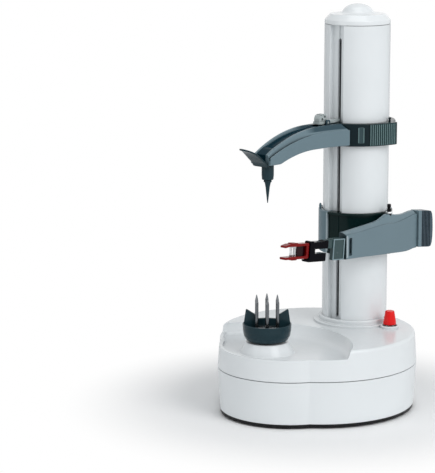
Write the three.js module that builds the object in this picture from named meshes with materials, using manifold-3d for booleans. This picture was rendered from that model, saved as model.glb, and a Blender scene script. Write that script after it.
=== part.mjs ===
// Electric potato peeler: a driven cup and a sprung blade that climbs a column.
// Millimetres, +Z up. The food stands at -Y of the column, whose axis is the working origin.
import * as THREE from "three";
import { mergeVertices } from "three/addons/utils/BufferGeometryUtils.js";
import Module from "manifold-3d";

const wasm = await Module();
wasm.setup();

// General clearances
const gap = 0.3;
const runningGap = 0.4;
const overrun = 1;

// Counts of facets
const wideFacets = 32;
const mediumFacets = 16;
const smallFacets = 8;
const tinyFacets = 6;
const lobeFacets = 14;
const mainFacets = 30;
const rampFacets = 10;
const rampRows = 5;

// Heights of the base, stacked up from the surface it stands on
const footProud = 1;
const plateThick = 2;
const lowerHeight = 32.2;
const partingGap = 0.5;
const upperHeight = 22.6;
const trayDepth = 8.2;
const lowRimRise = 1.9;
const plateTop = footProud + plateThick;
const partingHeight = plateTop + lowerHeight;
const deckHeight = partingHeight + upperHeight;
const trayFloor = deckHeight - trayDepth;
const lowRimHeight = trayFloor + lowRimRise;

// Gear train, laid out forwards from the lead screw
const screwSetForward = 11.1;
const gearModule = 1.25;
const motorReach = 30;
const pressureAngle = THREE.MathUtils.degToRad(20);
const spindleTeeth = 28;
const idlerTeeth = 28;
const screwTeeth = 56;
const smallTeeth = 10;
const bigTeeth = 50;
const motorTeeth = 10;
const toothBacklash = 0.5;
const addendumShare = 0.85;
const dedendumShare = 1.25;
const axleRadius = 2;
const motorSide = THREE.MathUtils.degToRad(150);
const leadScrewY = -screwSetForward;
const idlerY = leadScrewY - ((idlerTeeth + screwTeeth) * gearModule) / 2;
const spindleY = idlerY - ((spindleTeeth + idlerTeeth) * gearModule) / 2;
const compoundX = (-(idlerTeeth + smallTeeth) * gearModule) / 2;
const motorGearModule = (2 * motorReach) / (bigTeeth + motorTeeth);
const motorX = compoundX + motorReach * Math.cos(motorSide);
const motorY = idlerY + motorReach * Math.sin(motorSide);

// Base outline: a lobe round the spindle and a main circle whose front lies a little behind the lobe's
const lobeRadius = 52.5;
const lobeSetBack = 23.4;
const lobeProud = 10.8;
const mainRadius = 74.6;
const lowerDraft = 1.8;
const upperDraft = 1.5;
const rimRound = 2.4;
const rimEaseShare = 0.3;
const wall = 2.4;
const trayLip = 2.4;
const lobeCentreY = spindleY + lobeSetBack;
const mainCentreY = lobeCentreY - lobeRadius + lobeProud + mainRadius;

// Ramp between tray and deck, as arcs seen from above, behind the spindle
const rampTopReach = 58.6;
const rampTopRadius = 72;
const rampFootReach = 41.6;
const rampFootRadius = 78;
const rampSideMargin = 3;
const rampTopCentreY = spindleY + rampTopReach - rampTopRadius;
const rampFootCentreY = spindleY + rampFootReach - rampFootRadius;
const rampHalfWidth = Math.min(rampTopRadius, rampFootRadius) - rampSideMargin;

// Spindle and the cone under the cup
const spindleRadius = 3;
const coneFootRadius = 20.5;
const coneTopRadius = 15.5;
const coneHeight = 8.3;
const coneTop = trayFloor + coneHeight;
const bushRadius = 5;
const bushLength = 11;
const bushWall = 3;
const bushSleeveRadius = bushRadius + bushWall;

// Cup
const cupClearance = 0.8;
const cupHeight = 12.8;
const cupDepth = 5.9;
const cupFootRadius = 13.9;
const cupHeelRadius = 15.5;
const cupHeelHeight = 1;
const cupBellyRadius = 17;
const cupBellyHeight = 3.9;
const cupSideRadius = 17.7;
const cupSideHeight = 7.8;
const cupRimRadius = 18;
const cupWall = 2.2;
const cupHubRadius = 6.4;
const cupSocketDepth = 6.2;
const finInnerRadius = 9;
const finTopRadius = 15.5;
const finRise = 10.5;
const finInnerRise = 6.7;
const finThick = 2.4;
const cupTurn = THREE.MathUtils.degToRad(44);
const cupBottom = coneTop + cupClearance;
const cupRim = cupBottom + cupHeight;
const cupFloor = cupRim - cupDepth;
const finTop = cupRim + finRise;
const finInnerTop = cupRim + finInnerRise;

// Prongs on their steel disc
const prongCount = 6;
const prongCircle = 8.8;
const prongRadius = 1.2;
const prongRise = 20.5;
const prongTipLength = 4;
const prongDiscRadius = 11.4;
const prongDiscThick = 1;
const prongTop = cupRim + prongRise;

// Gear plate and the heights of the gears on it
const gearPlateRise = 24;
const gearPlateThick = 2.5;
const gearSeat = 1.5;
const gearThick = 5;
const gearApart = 1;
const upperGearThick = 4.5;
const plateBarHalfWidth = 16;
const plateBarEndMargin = 14;
const plateWingMargin = 14;
const legRadius = 4;
const legOffset = 12;
const legFrontClearance = 2.3;
const legRearClearance = 2.9;
const gearPlateFloor = plateTop + gearPlateRise;
const gearPlateTop = gearPlateFloor + gearPlateThick;
const gearFloor = gearPlateTop + gearSeat;
const upperGearFloor = gearFloor + gearThick + gearApart;

// Motor
const motorRadius = 12;
const motorFlat = 9.6;
const motorRise = 1.6;
const motorNoseRadius = 3.5;
const motorNoseHeight = 2.2;
const motorShaftRadius = 1.2;
const motorBottom = plateTop + motorRise;
const motorTop = gearPlateFloor - 2 * gap;

// Battery bay
const cellRadius = 7.25;
const cellLength = 49.2;
const cellNubRadius = 2.7;
const cellNubHeight = 1.3;
const cellPitch = 15;
const cellCount = 4;
const baySetBack = 3.8;
const bayHeadroom = 2.9;
const bayWall = 1.8;
const bayLedge = 1.8;
const bayLedgeThick = 1.8;
const doorThick = 1.6;
const contactThick = 0.5;
const contactHeight = 12;
const bayCentreY = idlerY + baySetBack;
const bayHalfLength = cellLength / 2 + cellNubHeight + contactThick + 4 * gap;
const bayHalfWidth = (cellPitch * cellCount) / 2 + gap;
const cellCentreZ = footProud + doorThick + gap + cellRadius + gap;
const bayTop = cellCentreZ + cellRadius + bayHeadroom + bayWall;
const legFrontY = bayCentreY - bayHalfLength - bayWall - legFrontClearance - legRadius;
const legRearY = bayCentreY + bayHalfLength + bayWall + legRearClearance + legRadius;

// Rubber feet, case posts and screws
const footRadius = 8;
const footHeight = 1.7;
const rearFootInset = 27.6;
const rearFootReach = 35.3;
const frontFootX = 26;
const frontFootReach = 30.8;
const postRadius = 4;
const rearPostInset = 12.6;
const rearPostReach = 12.3;
const frontPostInset = 14.5;
const frontPostReach = 16.8;
const screwShankRadius = 1.4;
const screwHeadRadius = 2.8;
const screwHeadThick = 1;
const screwLength = 13;
const rearFootX = mainRadius - rearFootInset;
const rearFootY = mainCentreY + rearFootReach;
const frontFootY = lobeCentreY - frontFootReach;
const rearPostX = mainRadius - rearPostInset;
const rearPostY = mainCentreY + rearPostReach;
const frontPostX = lobeRadius - frontPostInset;
const frontPostY = lobeCentreY - frontPostReach;

// Column
const columnRadius = 24.7;
const columnWall = 2.2;
const columnLength = 226.9;
const channelHalfWidth = 6.4;
const channelDepth = 4.8;
const channelWall = 1.8;
const slitHalfWidth = 1.7;
const slitEnd = 5;
const footRingThick = 2.5;
const footRingHeight = 4.6;
const footRingChamfer = 1.2;
const footStepWidth = 3.8;
const footStepHeight = 1.3;
const columnBossRadius = 4;
const columnBossInset = 4.5;
const columnBossY = 5.5;
const columnBossHeight = 14;
const columnBottom = deckHeight + gap;
const columnTop = columnBottom + columnLength;
const columnBore = columnRadius - columnWall;
const columnBossX = columnBore - columnBossInset;
const channelFloorY = -(columnRadius - channelDepth);
const footRingRadius = columnRadius + footRingThick;
const footStepRadius = footRingRadius + footStepWidth;
const footRingTop = columnBottom + footRingHeight;

// Top cap
const capSeam = 0.4;
const capSideHeight = 4.4;
const capShoulderInset = 4.1;
const capShoulderRise = 2.9;
const capGrooveWidth = 3.2;
const capDomeInset = 4.8;
const capDomeRise = 0.7;
const capDomeHeight = 7;
const capPlugDepth = 5;
const capPlugWall = 2.2;
const capRoof = 2.2;
const capShoulderRadius = columnRadius - capShoulderInset;
const capGrooveRadius = capShoulderRadius - capGrooveWidth;
const capDomeRadius = capGrooveRadius - capDomeInset;
const capSideTop = columnTop + capSideHeight;
const capShoulderTop = capSideTop + capShoulderRise;
const capDomeFoot = capShoulderTop + capDomeRise;
const capTop = capDomeFoot + capDomeHeight;

// Lead screw
const screwRadius = 3;
const threadRadius = 4.2;
const threadLead = 6;
const threadSteps = 3;
const threadSides = 4;
const threadOffset = 0.7;
const threadStart = 3.3;
const threadEnd = 9;
const upperBushRadius = 5;
const upperBushLength = 7;
const upperBushWall = 1.5;
const threadBottom = footRingTop + threadStart;
const threadTop = columnTop - threadEnd;

// Power button, bezel and switch
const buttonReach = 12.4;
const buttonForward = 2.2;
const buttonFootRadius = 5;
const buttonTopRadius = 3.3;
const buttonHeight = 13.2;
const buttonTravel = 2.5;
const buttonStemRadius = 1.6;
const buttonBoreRadius = 3.2;
const buttonRoof = 4.5;
const bezelWidth = 2;
const bezelHeight = 1.7;
const switchWidth = 11;
const switchLength = 9;
const switchHeight = 6.4;
const switchDrop = 7.8;
const springWire = 0.7;
const buttonX = columnRadius + buttonReach;
const buttonY = -buttonForward;
const buttonTop = deckHeight + buttonHeight;
const buttonBoreTop = buttonTop - buttonRoof;
const bezelRadius = buttonFootRadius + bezelWidth;
const switchTop = deckHeight - switchDrop;
const switchBottom = switchTop - switchHeight;

// Carriage
const collarClearance = 0.4;
const carriageWall = 2.9;
const carriageRise = 55.2;
const carriageHeight = 32;
const keyClearance = 0.5;
const pinOffset = 5;
const pinRadius = 1.5;
const pinRise = 1;
const pinProud = 7.6;
const pinHeadRadius = 2.6;
const pinHeadThick = 1.4;
const knuckleRadius = 3.4;
const knuckleRise = 8.4;
const knuckleHeight = 7.6;
const lugHalfWidth = 3;
const nutRise = 10;
const nutHeight = 12;
const nutHalfWidth = 6;
const collarBore = columnRadius + collarClearance;
const keyHalfWidth = channelHalfWidth - keyClearance;
const keyFloorY = channelFloorY - keyClearance;
const carriageRadius = collarBore + carriageWall;
const carriageBottom = deckHeight + carriageRise;
const carriageTop = carriageBottom + carriageHeight;
const pinX = carriageRadius + pinOffset;
const pinBottom = carriageBottom + pinRise;
const knuckleBottom = carriageBottom + knuckleRise;
const knuckleTop = knuckleBottom + knuckleHeight;
const nutBottom = carriageBottom + nutRise;
const nutTop = nutBottom + nutHeight;

// Torsion spring round the pin
const torsionRadius = 2.9;
const torsionWire = 0.8;
const torsionHeight = 7.2;
const torsionTop = knuckleTop + torsionHeight;

// Peeling arm: the lines of its side are shares of its length and depth, front to rear
const leverFrontReach = 55;
const leverRearReach = 27.4;
const leverRise = 1.1;
const leverDepth = 30.3;
const leverInnerOffset = 2;
const leverRidgeOffset = 1;
const leverOuterOffset = 5;
const leverPlate = 2.2;
const leverRidgeShares = [
  [0.041, 0.776],
  [0.386, 0.848],
  [0.502, 0.884],
  [0.563, 0.941],
  [0.62, 1],
  [0.765, 0.947],
  [0.859, 0.934],
  [0.968, 0.97],
];
const leverShoulderShares = [
  [0, 0.733],
  [0.191, 0.739],
  [0.386, 0.779],
  [0.563, 0.805],
  [0.682, 0.785],
  [0.801, 0.825],
  [0.968, 0.914],
];
const leverFootShares = [
  [0, 0.125],
  [0.447, 0.056],
  [0.859, 0],
  [0.968, 0.036],
];
const leverStationShares = [
  0, 0.041, 0.191, 0.386, 0.447, 0.502, 0.563, 0.62, 0.682, 0.765, 0.801, 0.859, 0.968, 1,
];
const leverPocketFrontInset = 13;
const leverPocketRearInset = 11.4;
const leverPocketSill = 5.9;
const leverPocketHeight = 14.2;
const leverKnuckleRise = 2.5;
const leverTailInnerInset = 2.8;
const leverTailOuterInset = 1.4;
const leverTailSill = 4.5;
const leverTailHeadroom = 6.2;
const leverTailLength = 13;
const latchSlotInset = 5.4;
const latchSlotWidth = 2.4;
const latchSlotSill = 5.9;
const latchSlotHeight = 13.4;
const leverFrontY = -leverFrontReach;
const leverRearY = leverRearReach;
const leverBottom = carriageBottom + leverRise;
const leverCrown = leverBottom + leverDepth;
const leverInnerX = pinX - leverInnerOffset;
const leverRidgeX = pinX + leverRidgeOffset;
const leverOuterX = pinX + leverOuterOffset;
const leverPocketBottom = leverBottom + leverPocketSill;
const leverKnuckleFloor = leverBottom + leverKnuckleRise;
const leverKnuckleBottom = knuckleBottom - 2 * gap;
const leverKnuckleTop = torsionTop + 2 * gap;
const leverTailInnerX = leverInnerX + leverTailInnerInset;
const leverTailOuterX = leverOuterX - leverTailOuterInset;
const leverTailBottom = leverBottom + leverTailSill;
const leverTailTop = leverCrown - leverTailHeadroom;
const latchSlotY = leverFrontY + latchSlotInset;
const latchSlotBottom = leverBottom + latchSlotSill;
const pinTop = leverCrown + pinProud;

// Ribbed grip on the lever's tail: its side outline is shares of its length and height
const gripLength = 17.1;
const gripHeight = 29.5;
const gripInnerInset = 0.6;
const gripOuterProud = 1.6;
const gripOutlineShares = [
  [0, 0.054],
  [0.754, 0],
  [0.871, 0.017],
  [0.947, 0.108],
  [0.988, 0.258],
  [1, 0.481],
  [0.982, 0.719],
  [0.942, 0.854],
  [0.871, 0.929],
  [0.766, 0.949],
  [0.029, 1],
  [0, 0.983],
];
const gripRibInset = 4.7;
const gripRibPitch = 1.7;
const gripRibs = 6;
const gripGroove = 0.9;
const gripGrooveWidth = 0.9;
const gripFrontY = leverRearY + gap;
const gripBottom = leverBottom + gap;
const gripInnerX = leverInnerX + gripInnerInset;
const gripOuterX = leverOuterX + gripOuterProud;

// Blade head, along its own length from the lever's front end
const headTilt = THREE.MathUtils.degToRad(5.5);
const headOffset = 2;
const headRise = 12.2;
const cartridgeLength = 19.6;
const cartridgeStep = 14.6;
const cartridgeHalfWidth = 3.3;
const cartridgeSetBack = 0.8;
const cartridgeTop = 7.6;
const cartridgeDepth = 8;
const cartridgePegLength = 9;
const cartridgePegHalfWidth = 1.8;
const cartridgePegHalfHeight = 4.6;
const carrierHalfWidth = 2.9;
const carrierBarFoot = 0.4;
const carrierBarTop = 6.8;
const carrierLength = 19.9;
const carrierWeb = 6.5;
const carrierBlockGap = 2.3;
const carrierBlockDrop = 1.3;
const carrierBlockDepth = 8.2;
const carrierNoseProud = 2.4;
const carrierNoseDrop = 6.6;
const carrierRound = 0.8;
const frameHalfHeight = 5.6;
const frameProng = 1.8;
const frameLength = 25.5;
const frameTipDrop = 0.9;
const frameTipLength = 5;
const frameInset = 0.5;
const frameHalfWidth = 2.5;
const frameWeb = 2.6;
const frameShieldLength = 8.1;
const frameShieldHalfWidth = 0.7;
const frameRound = 1.1;
const framePinLength = 5.9;
const framePinRadius = 0.8;
const bladeReach = 15.1;
const bladeHalfHeight = 3.5;
const bladeWidth = 6.4;
const bladeThick = 0.9;
const bladePivotRadius = 0.7;
const bladePivotDepth = 1.2;
const headCentreX = pinX + headOffset;
const headCentreZ = leverBottom + headRise;
const cartridgeBottom = -cartridgeDepth;
const carrierFront = cartridgeLength + carrierLength;
const carrierWebStart = carrierFront - carrierWeb;
const carrierBlockStart = cartridgeLength + carrierBlockGap;
const carrierBlockTop = -carrierBlockDrop;
const carrierBlockBottom = -carrierBlockDepth;
const carrierNoseFront = carrierFront + carrierNoseProud;
const carrierNoseTop = -carrierNoseDrop;
const frameWebStart = carrierFront + runningGap;
const frameProngFront = frameWebStart + frameLength;
const frameX = -frameInset;
const framePinStart = frameWebStart - framePinLength;
const bladeStation = frameWebStart + bladeReach;

// Upper collar
const collarRise = 51;
const collarHeight = 17;
const collarWall = 4.3;
const ribCount = 12;
const ribHeight = 1.5;
const ribWidth = 2.4;
const ribStart = THREE.MathUtils.degToRad(60);
const ribStep = THREE.MathUtils.degToRad(7);
const windowAngle = THREE.MathUtils.degToRad(51);
const windowWidth = 4.2;
const windowHeight = 11;
const windowDepth = 1.6;
const tongueHalfWidth = 5.6;
const tongueRise = 2.6;
const tongueHeight = 6.4;
const tongueLength = 14;
const collarRadius = collarBore + collarWall;
const collarBottom = carriageTop + collarRise;
const collarTop = collarBottom + collarHeight;
const tongueBottom = collarBottom + tongueRise;
const tongueTop = tongueBottom + tongueHeight;

// Upper arm: arcs of its side line, its underside and its crown, seen from the side, over the spindle
const armRearReach = 22;
const armNoseReach = 7.4;
const sideLineDrop = 4.1;
const sideLineReach = 51.6;
const sideLineRadius = 140;
const undersideRise = 0.9;
const undersideReach = 40.6;
const undersideRadius = 102;
const noseDrop = 6;
const crownReach = 48.6;
const crownRadius = 110;
const armNoseHalfWidth = 9.8;
const armHalfWidth = 11;
const armRearHalfWidth = 18;
const armFlareReach = 46.6;
const armStations = 14;
const armShoulder = 1.1;
const ridgeShare = 0.66;
const ridgeInnerShare = 0.36;
const grooveShare = 0.26;
const armGroove = 2.4;
const armGrooveFrontReach = 1.4;
const armGrooveRearReach = 52;
const armGrooveFade = 8;
const armCollarGap = 1.5;
const armRearY = -armRearReach;
const armNoseY = spindleY - armNoseReach;
const sideLineTop = collarTop - sideLineDrop;
const sideLineFlatY = spindleY + sideLineReach;
const undersideTop = collarBottom + undersideRise;
const undersidePeakY = spindleY + undersideReach;
const noseBottom = collarBottom - noseDrop;
const crownTop = collarTop;
const crownPeakY = spindleY + crownReach;
const armFlareY = spindleY + armFlareReach;
const armGrooveFront = spindleY - armGrooveFrontReach;
const armGrooveRear = spindleY + armGrooveRearReach;

// Nose, sleeve, thumb tab and spike; the tab's stations are shares of its reach, rise and half width
const sleeveRadius = 4.5;
const sleeveLength = 11.6;
const pegRadius = 3;
const pegRise = 6.4;
const tabThick = 1.5;
const tabReach = 29.7;
const tabRise = 14.65;
const tabHalfWidth = 7.6;
const tabStationShares = [
  [0, 0, 0.579],
  [0.202, 0, 0.921],
  [0.259, 0.02, 1],
  [0.306, 0.181, 1],
  [0.421, 0.372, 0.987],
  [0.532, 0.563, 0.947],
  [0.667, 0.754, 0.829],
  [0.795, 0.884, 0.566],
  [0.909, 0.952, 0.303],
  [1, 1, 0.053],
];
const spikeShankRadius = 2;
const spikeShankRise = 9;
const spikeCollarRadius = 2.9;
const spikeCollarThick = 1.6;
const spikeNeckRadius = 2.3;
const spikeLowRadius = 1.45;
const spikeLowDrop = 6.4;
const spikeTipDrop = 17.4;
const sleeveBottom = noseBottom - sleeveLength;
const pegTop = noseBottom + pegRise;
const tabRootZ = noseBottom - gap - tabThick / 2;
const spikeShankTop = sleeveBottom + spikeShankRise;
const spikeLowZ = sleeveBottom - spikeLowDrop;
const spikeTip = sleeveBottom - spikeTipDrop;

// Release lever on the arm; its pad's side outline is shares of the pad's length and height
const releaseHalfWidth = 3.4;
const releaseRearReach = 27;
const releaseLength = 21;
const releaseClearance = 0.4;
const releaseThick = 1.9;
const pawlClearance = 0.7;
const pawlHalfWidth = 1.9;
const padLength = 11.3;
const padHeight = 7.2;
const padOutlineShares = [
  [0, 0.139],
  [1, 0.139],
  [1, 1],
  [0.354, 1],
  [0.106, 0.875],
  [0, 0.583],
];
const releasePivotSetBack = 10;
const releasePivotRadius = 0.9;
const releaseEarThick = 1.4;
const releaseEarHalfLength = 2.2;
const releaseEarHeight = 3;
const releaseSumpLength = 14;
const releaseSump = 3.6;
const releaseRearY = -releaseRearReach;
const releaseFrontY = releaseRearY - releaseLength;
const releaseBottom = crownTop + releaseClearance;
const releaseEarTop = releaseBottom + releaseEarHeight;
const releasePivotY = releaseFrontY + releasePivotSetBack;
const releaseSumpRearY = releaseFrontY + releaseSumpLength;
const pawlRearY = channelFloorY - pawlClearance;

// Wires, as places along each route
const wireRadius = 0.8;
const wireSides = 3;
const wireSteps = 16;
const wireExitX = 25;
const wireExitZ = 12;
const wireSpread = 1.6;
const supplyRoute = [
  [27, -26, 12],
  [38, -19, 14],
  [45, -10, 24],
  [45, -5, 36],
  [41, -3, 40.6],
];
const motorRoute = [
  [32, 2, 40.6],
  [37, 14, 38],
  [36, 18, 30],
  [28, 12, 16],
  [0, 8, 10],
  [-36, 0, 10],
  [-49, -20, 9],
];

// Finishes
function finish(colour, roughness, metalness) {
  return new THREE.MeshStandardMaterial({ color: colour, roughness, metalness });
}
const whitePlastic = () => finish(0xe6eaec, 0.22, 0);
const slatePlastic = () => finish(0x5c7078, 0.38, 0);
const darkSlatePlastic = () => finish(0x2c434c, 0.35, 0);
const blackPlastic = () => finish(0x15171a, 0.4, 0);
const redPlastic = () => finish(0xd9201f, 0.3, 0);
const greyPlastic = () => finish(0xaab4b8, 0.4, 0);
const naturalPlastic = () => finish(0xe9e4d4, 0.5, 0);
const rubber = () => finish(0x1b1b1d, 0.85, 0);
const steel = () => finish(0xb9bec2, 0.28, 1);
const brass = () => finish(0xb89a55, 0.35, 1);

// A closed geometry becomes a solid, turned right side out
function solid(geometry) {
  const plain = geometry.index ? geometry.clone() : mergeVertices(stripped(geometry));
  const merged = mergeVertices(stripped(plain));
  const triangles = new Uint32Array(merged.index.array);
  const vertices = new Float32Array(merged.attributes.position.array);
  if (signedVolume(vertices, triangles) < 0) {
    for (let i = 0; i < triangles.length; i += 3) {
      [triangles[i], triangles[i + 1]] = [triangles[i + 1], triangles[i]];
    }
  }
  return new wasm.Manifold(new wasm.Mesh({ numProp: 3, vertProperties: vertices, triVerts: triangles }));
}

function stripped(geometry) {
  const bare = geometry.clone();
  bare.deleteAttribute("normal");
  bare.deleteAttribute("uv");
  return bare;
}

function signedVolume(vertices, triangles) {
  const corner = (i) => new THREE.Vector3().fromArray(vertices, 3 * triangles[i]);
  let sum = 0;
  for (let i = 0; i < triangles.length; i += 3) {
    sum += corner(i).dot(corner(i + 1).cross(corner(i + 2)));
  }
  return sum / 6;
}

// A solid becomes a named mesh at a place
function piece(name, body, material, place = [0, 0, 0]) {
  const result = body.getMesh();
  const geometry = new THREE.BufferGeometry();
  const positions = new Float32Array(result.numVert * 3);
  for (let i = 0; i < result.numVert; i += 1) {
    for (let axis = 0; axis < 3; axis += 1) {
      positions[3 * i + axis] = result.vertProperties[i * result.numProp + axis];
    }
  }
  geometry.setAttribute("position", new THREE.BufferAttribute(positions, 3));
  geometry.setIndex(new THREE.BufferAttribute(new Uint32Array(result.triVerts), 1));
  geometry.computeVertexNormals();
  const mesh = new THREE.Mesh(geometry, material);
  mesh.name = name;
  mesh.position.set(...place);
  return mesh;
}

// Basic shapes, given by their limits
function block(x0, x1, y0, y1, z0, z1) {
  const geometry = new THREE.BoxGeometry(x1 - x0, y1 - y0, z1 - z0);
  geometry.translate((x0 + x1) / 2, (y0 + y1) / 2, (z0 + z1) / 2);
  return solid(geometry);
}

function rod(radius, z0, z1, facets = mediumFacets, x = 0, y = 0, topRadius = radius) {
  const geometry = new THREE.CylinderGeometry(topRadius, radius, z1 - z0, facets);
  geometry.rotateX(Math.PI / 2);
  geometry.translate(x, y, (z0 + z1) / 2);
  return solid(geometry);
}

function turned(profile, facets = wideFacets) {
  const points = profile.map(([radius, z]) => new THREE.Vector2(radius, z));
  const geometry = new THREE.LatheGeometry(points, facets);
  geometry.rotateX(Math.PI / 2);
  return solid(geometry);
}

function ring(outer, inner, z0, z1, facets = mediumFacets) {
  return rod(outer, z0, z1, facets).subtract(rod(inner, z0 - overrun, z1 + overrun, facets));
}

function slab(points, z0, z1) {
  const geometry = new THREE.ExtrudeGeometry(new THREE.Shape(points), { depth: z1 - z0, bevelEnabled: false });
  geometry.translate(0, 0, z0);
  return solid(geometry);
}

// Rings of equal count joined into one closed skin, flat at both ends
function loft(rings, flatten = (p) => new THREE.Vector2(p.x, p.y)) {
  const count = rings[0].length;
  const positions = rings.flat().flatMap((p) => [p.x, p.y, p.z]);
  const index = [];
  for (let level = 0; level + 1 < rings.length; level += 1) {
    for (let i = 0; i < count; i += 1) {
      const a = level * count + i;
      const b = level * count + ((i + 1) % count);
      index.push(a, b, b + count, a, b + count, a + count);
    }
  }
  const ends = [
    [rings[0], 0],
    [rings[rings.length - 1], (rings.length - 1) * count],
  ];
  const turnedUp = THREE.ShapeUtils.area(rings[0].map(flatten)) > 0;
  ends.forEach(([points, first], end) => {
    const contour = points.map(flatten);
    for (const [a, b, c] of THREE.ShapeUtils.triangulateShape(contour, [])) {
      const sameWay = turnedUp === (end === 1);
      index.push(first + a, first + (sameWay ? b : c), first + (sameWay ? c : b));
    }
  });
  const geometry = new THREE.BufferGeometry();
  geometry.setAttribute("position", new THREE.Float32BufferAttribute(positions, 3));
  geometry.setIndex(index);
  return solid(geometry);
}

// Base outline at an offset from the parting line's, front lobe first
function baseOutline(offset) {
  const lobe = lobeRadius + offset;
  const main = mainRadius + offset;
  const apart = mainCentreY - lobeCentreY;
  const along = (apart * apart + main * main - lobe * lobe) / (2 * apart);
  const meetY = mainCentreY - along;
  const meetX = Math.sqrt(main * main - along * along);
  const lobeAngle = Math.atan2(meetX, lobeCentreY - meetY);
  const mainAngle = Math.atan2(meetX, mainCentreY - meetY);
  const points = [];
  for (let i = 0; i < lobeFacets; i += 1) {
    const angle = -lobeAngle + (2 * lobeAngle * i) / lobeFacets;
    points.push(new THREE.Vector2(lobe * Math.sin(angle), lobeCentreY - lobe * Math.cos(angle)));
  }
  for (let i = 0; i < mainFacets; i += 1) {
    const angle = mainAngle + (2 * (Math.PI - mainAngle) * i) / mainFacets;
    points.push(new THREE.Vector2(main * Math.sin(angle), mainCentreY - main * Math.cos(angle)));
  }
  return points;
}

function baseLoft(levels) {
  return loft(levels.map(([offset, z]) => baseOutline(offset).map((p) => new THREE.Vector3(p.x, p.y, z))));
}

// Ramp's region in front of an S-shaped slope, from the tray floor up past the deck
function rampRegion(drop, back) {
  const rings = [];
  const row = (share, z) => {
    const centreY = rampFootCentreY + (rampTopCentreY - rampFootCentreY) * share + back;
    const radius = rampFootRadius + (rampTopRadius - rampFootRadius) * share;
    const points = [];
    for (let i = 0; i <= rampFacets; i += 1) {
      const x = rampHalfWidth * (1 - (2 * i) / rampFacets);
      points.push(new THREE.Vector3(x, centreY + Math.sqrt(radius * radius - x * x), z - drop));
    }
    const frontY = lobeCentreY - lobeRadius - overrun;
    const sideX = mainRadius + overrun;
    points.push(new THREE.Vector3(-sideX, points[rampFacets].y, z - drop));
    points.push(new THREE.Vector3(-sideX, frontY, z - drop));
    points.push(new THREE.Vector3(sideX, frontY, z - drop));
    points.push(new THREE.Vector3(sideX, points[0].y, z - drop));
    return points;
  };
  for (let i = 0; i <= rampRows; i += 1) {
    const share = i / rampRows;
    const rise = (1 - Math.cos(Math.PI * share)) / 2;
    rings.push(row(share, trayFloor + (deckHeight - trayFloor) * rise));
  }
  rings.push(row(1, deckHeight + overrun + drop));
  return loft(rings);
}

// Gear outline with straight flanks through an involute's root and tip
function gearPoints(teeth, module, phase) {
  const pitch = (teeth * module) / 2;
  const base = pitch * Math.cos(pressureAngle);
  const tip = pitch + module * addendumShare;
  const root = pitch - module * dedendumShare;
  const involute = (angle) => Math.tan(angle) - angle;
  const half = (radius) => {
    const angle = radius > base ? Math.acos(base / radius) : 0;
    const thickness = (Math.PI * module) / 2 - toothBacklash;
    return thickness / (2 * pitch) + involute(pressureAngle) - involute(angle);
  };
  const points = [];
  for (let tooth = 0; tooth < teeth; tooth += 1) {
    const centre = phase + (2 * Math.PI * tooth) / teeth;
    const corners = [
      [root, -half(base)],
      [tip, -half(tip)],
      [tip, half(tip)],
      [root, half(base)],
    ];
    for (const [radius, turn] of corners) {
      points.push(new THREE.Vector2(radius * Math.cos(centre + turn), radius * Math.sin(centre + turn)));
    }
  }
  return points;
}

// Phase of a gear that meshes with another one across the line between them
function meshPhase(direction, phase, teeth, mateTeeth) {
  const pitch = (2 * Math.PI) / teeth;
  const matePitch = (2 * Math.PI) / mateTeeth;
  const fraction = (direction - phase) / pitch;
  return direction + Math.PI - matePitch * (0.5 - fraction);
}

function gear(teeth, module, z0, z1, phase) {
  return slab(gearPoints(teeth, module, phase), z0, z1);
}

// Screw driven from below, with the underside of its head at zero
function fastener(length) {
  const head = rod(screwHeadRadius, -screwHeadThick, 0, smallFacets);
  const drive = rod(screwHeadRadius / 2, -screwHeadThick - overrun, -screwHeadThick / 2, tinyFacets);
  return head.add(rod(screwShankRadius, -screwHeadThick / 2, length, smallFacets)).subtract(drive);
}

const screwHole = (z0, z1, x, y) => rod(screwShankRadius + gap, z0, z1, smallFacets, x, y);
const postPlaces = [
  [rearPostX, rearPostY],
  [-rearPostX, rearPostY],
  [frontPostX, frontPostY],
  [-frontPostX, frontPostY],
];
const feetPlaces = [
  [rearFootX, rearFootY],
  [-rearFootX, rearFootY],
  [frontFootX, frontFootY],
  [-frontFootX, frontFootY],
];
const legPlaces = [
  [legOffset, legFrontY],
  [-legOffset, legFrontY],
  [legOffset, legRearY],
  [-legOffset, legRearY],
];
const bossPlaces = [
  [columnBossX, columnBossY],
  [-columnBossX, columnBossY],
];

// Base plate with the battery box, foot recesses and screw holes
function basePlate() {
  const outline = -lowerDraft - gap;
  const ledgeX = bayHalfWidth + bayWall + bayLedge;
  const ledgeY = bayHalfLength + bayWall + bayLedge;
  let body = baseLoft([
    [outline, footProud],
    [outline, plateTop],
  ]);
  const wireHole = new THREE.CylinderGeometry(2 * wireRadius, 2 * wireRadius, 2 * bayWall, smallFacets);
  wireHole.translate(wireExitX, bayCentreY + bayHalfLength + bayWall / 2, wireExitZ);
  const ledgeTop = plateTop + bayLedgeThick;
  body = body.add(block(-ledgeX, ledgeX, bayCentreY - ledgeY, bayCentreY + ledgeY, plateTop - gap, ledgeTop));
  body = body.add(bayBlock(bayWall, plateTop - gap, bayTop));
  body = body.subtract(bayBlock(0, footProud - overrun, bayTop - bayWall)).subtract(solid(wireHole));
  body = body.subtract(bayBlock(bayLedge, footProud - overrun, footProud + doorThick + gap));
  for (const [x, y] of feetPlaces) {
    body = body.subtract(rod(footRadius + gap, footProud - overrun, footHeight + gap, mediumFacets, x, y));
  }
  const headTop = footProud + screwHeadThick + gap;
  for (const [x, y] of postPlaces) {
    body = body.subtract(screwHole(footProud - overrun, plateTop + overrun, x, y));
    body = body.subtract(rod(screwHeadRadius + gap, footProud - overrun, headTop, smallFacets, x, y));
  }
  return piece("base_plate", body, blackPlastic());
}

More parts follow.
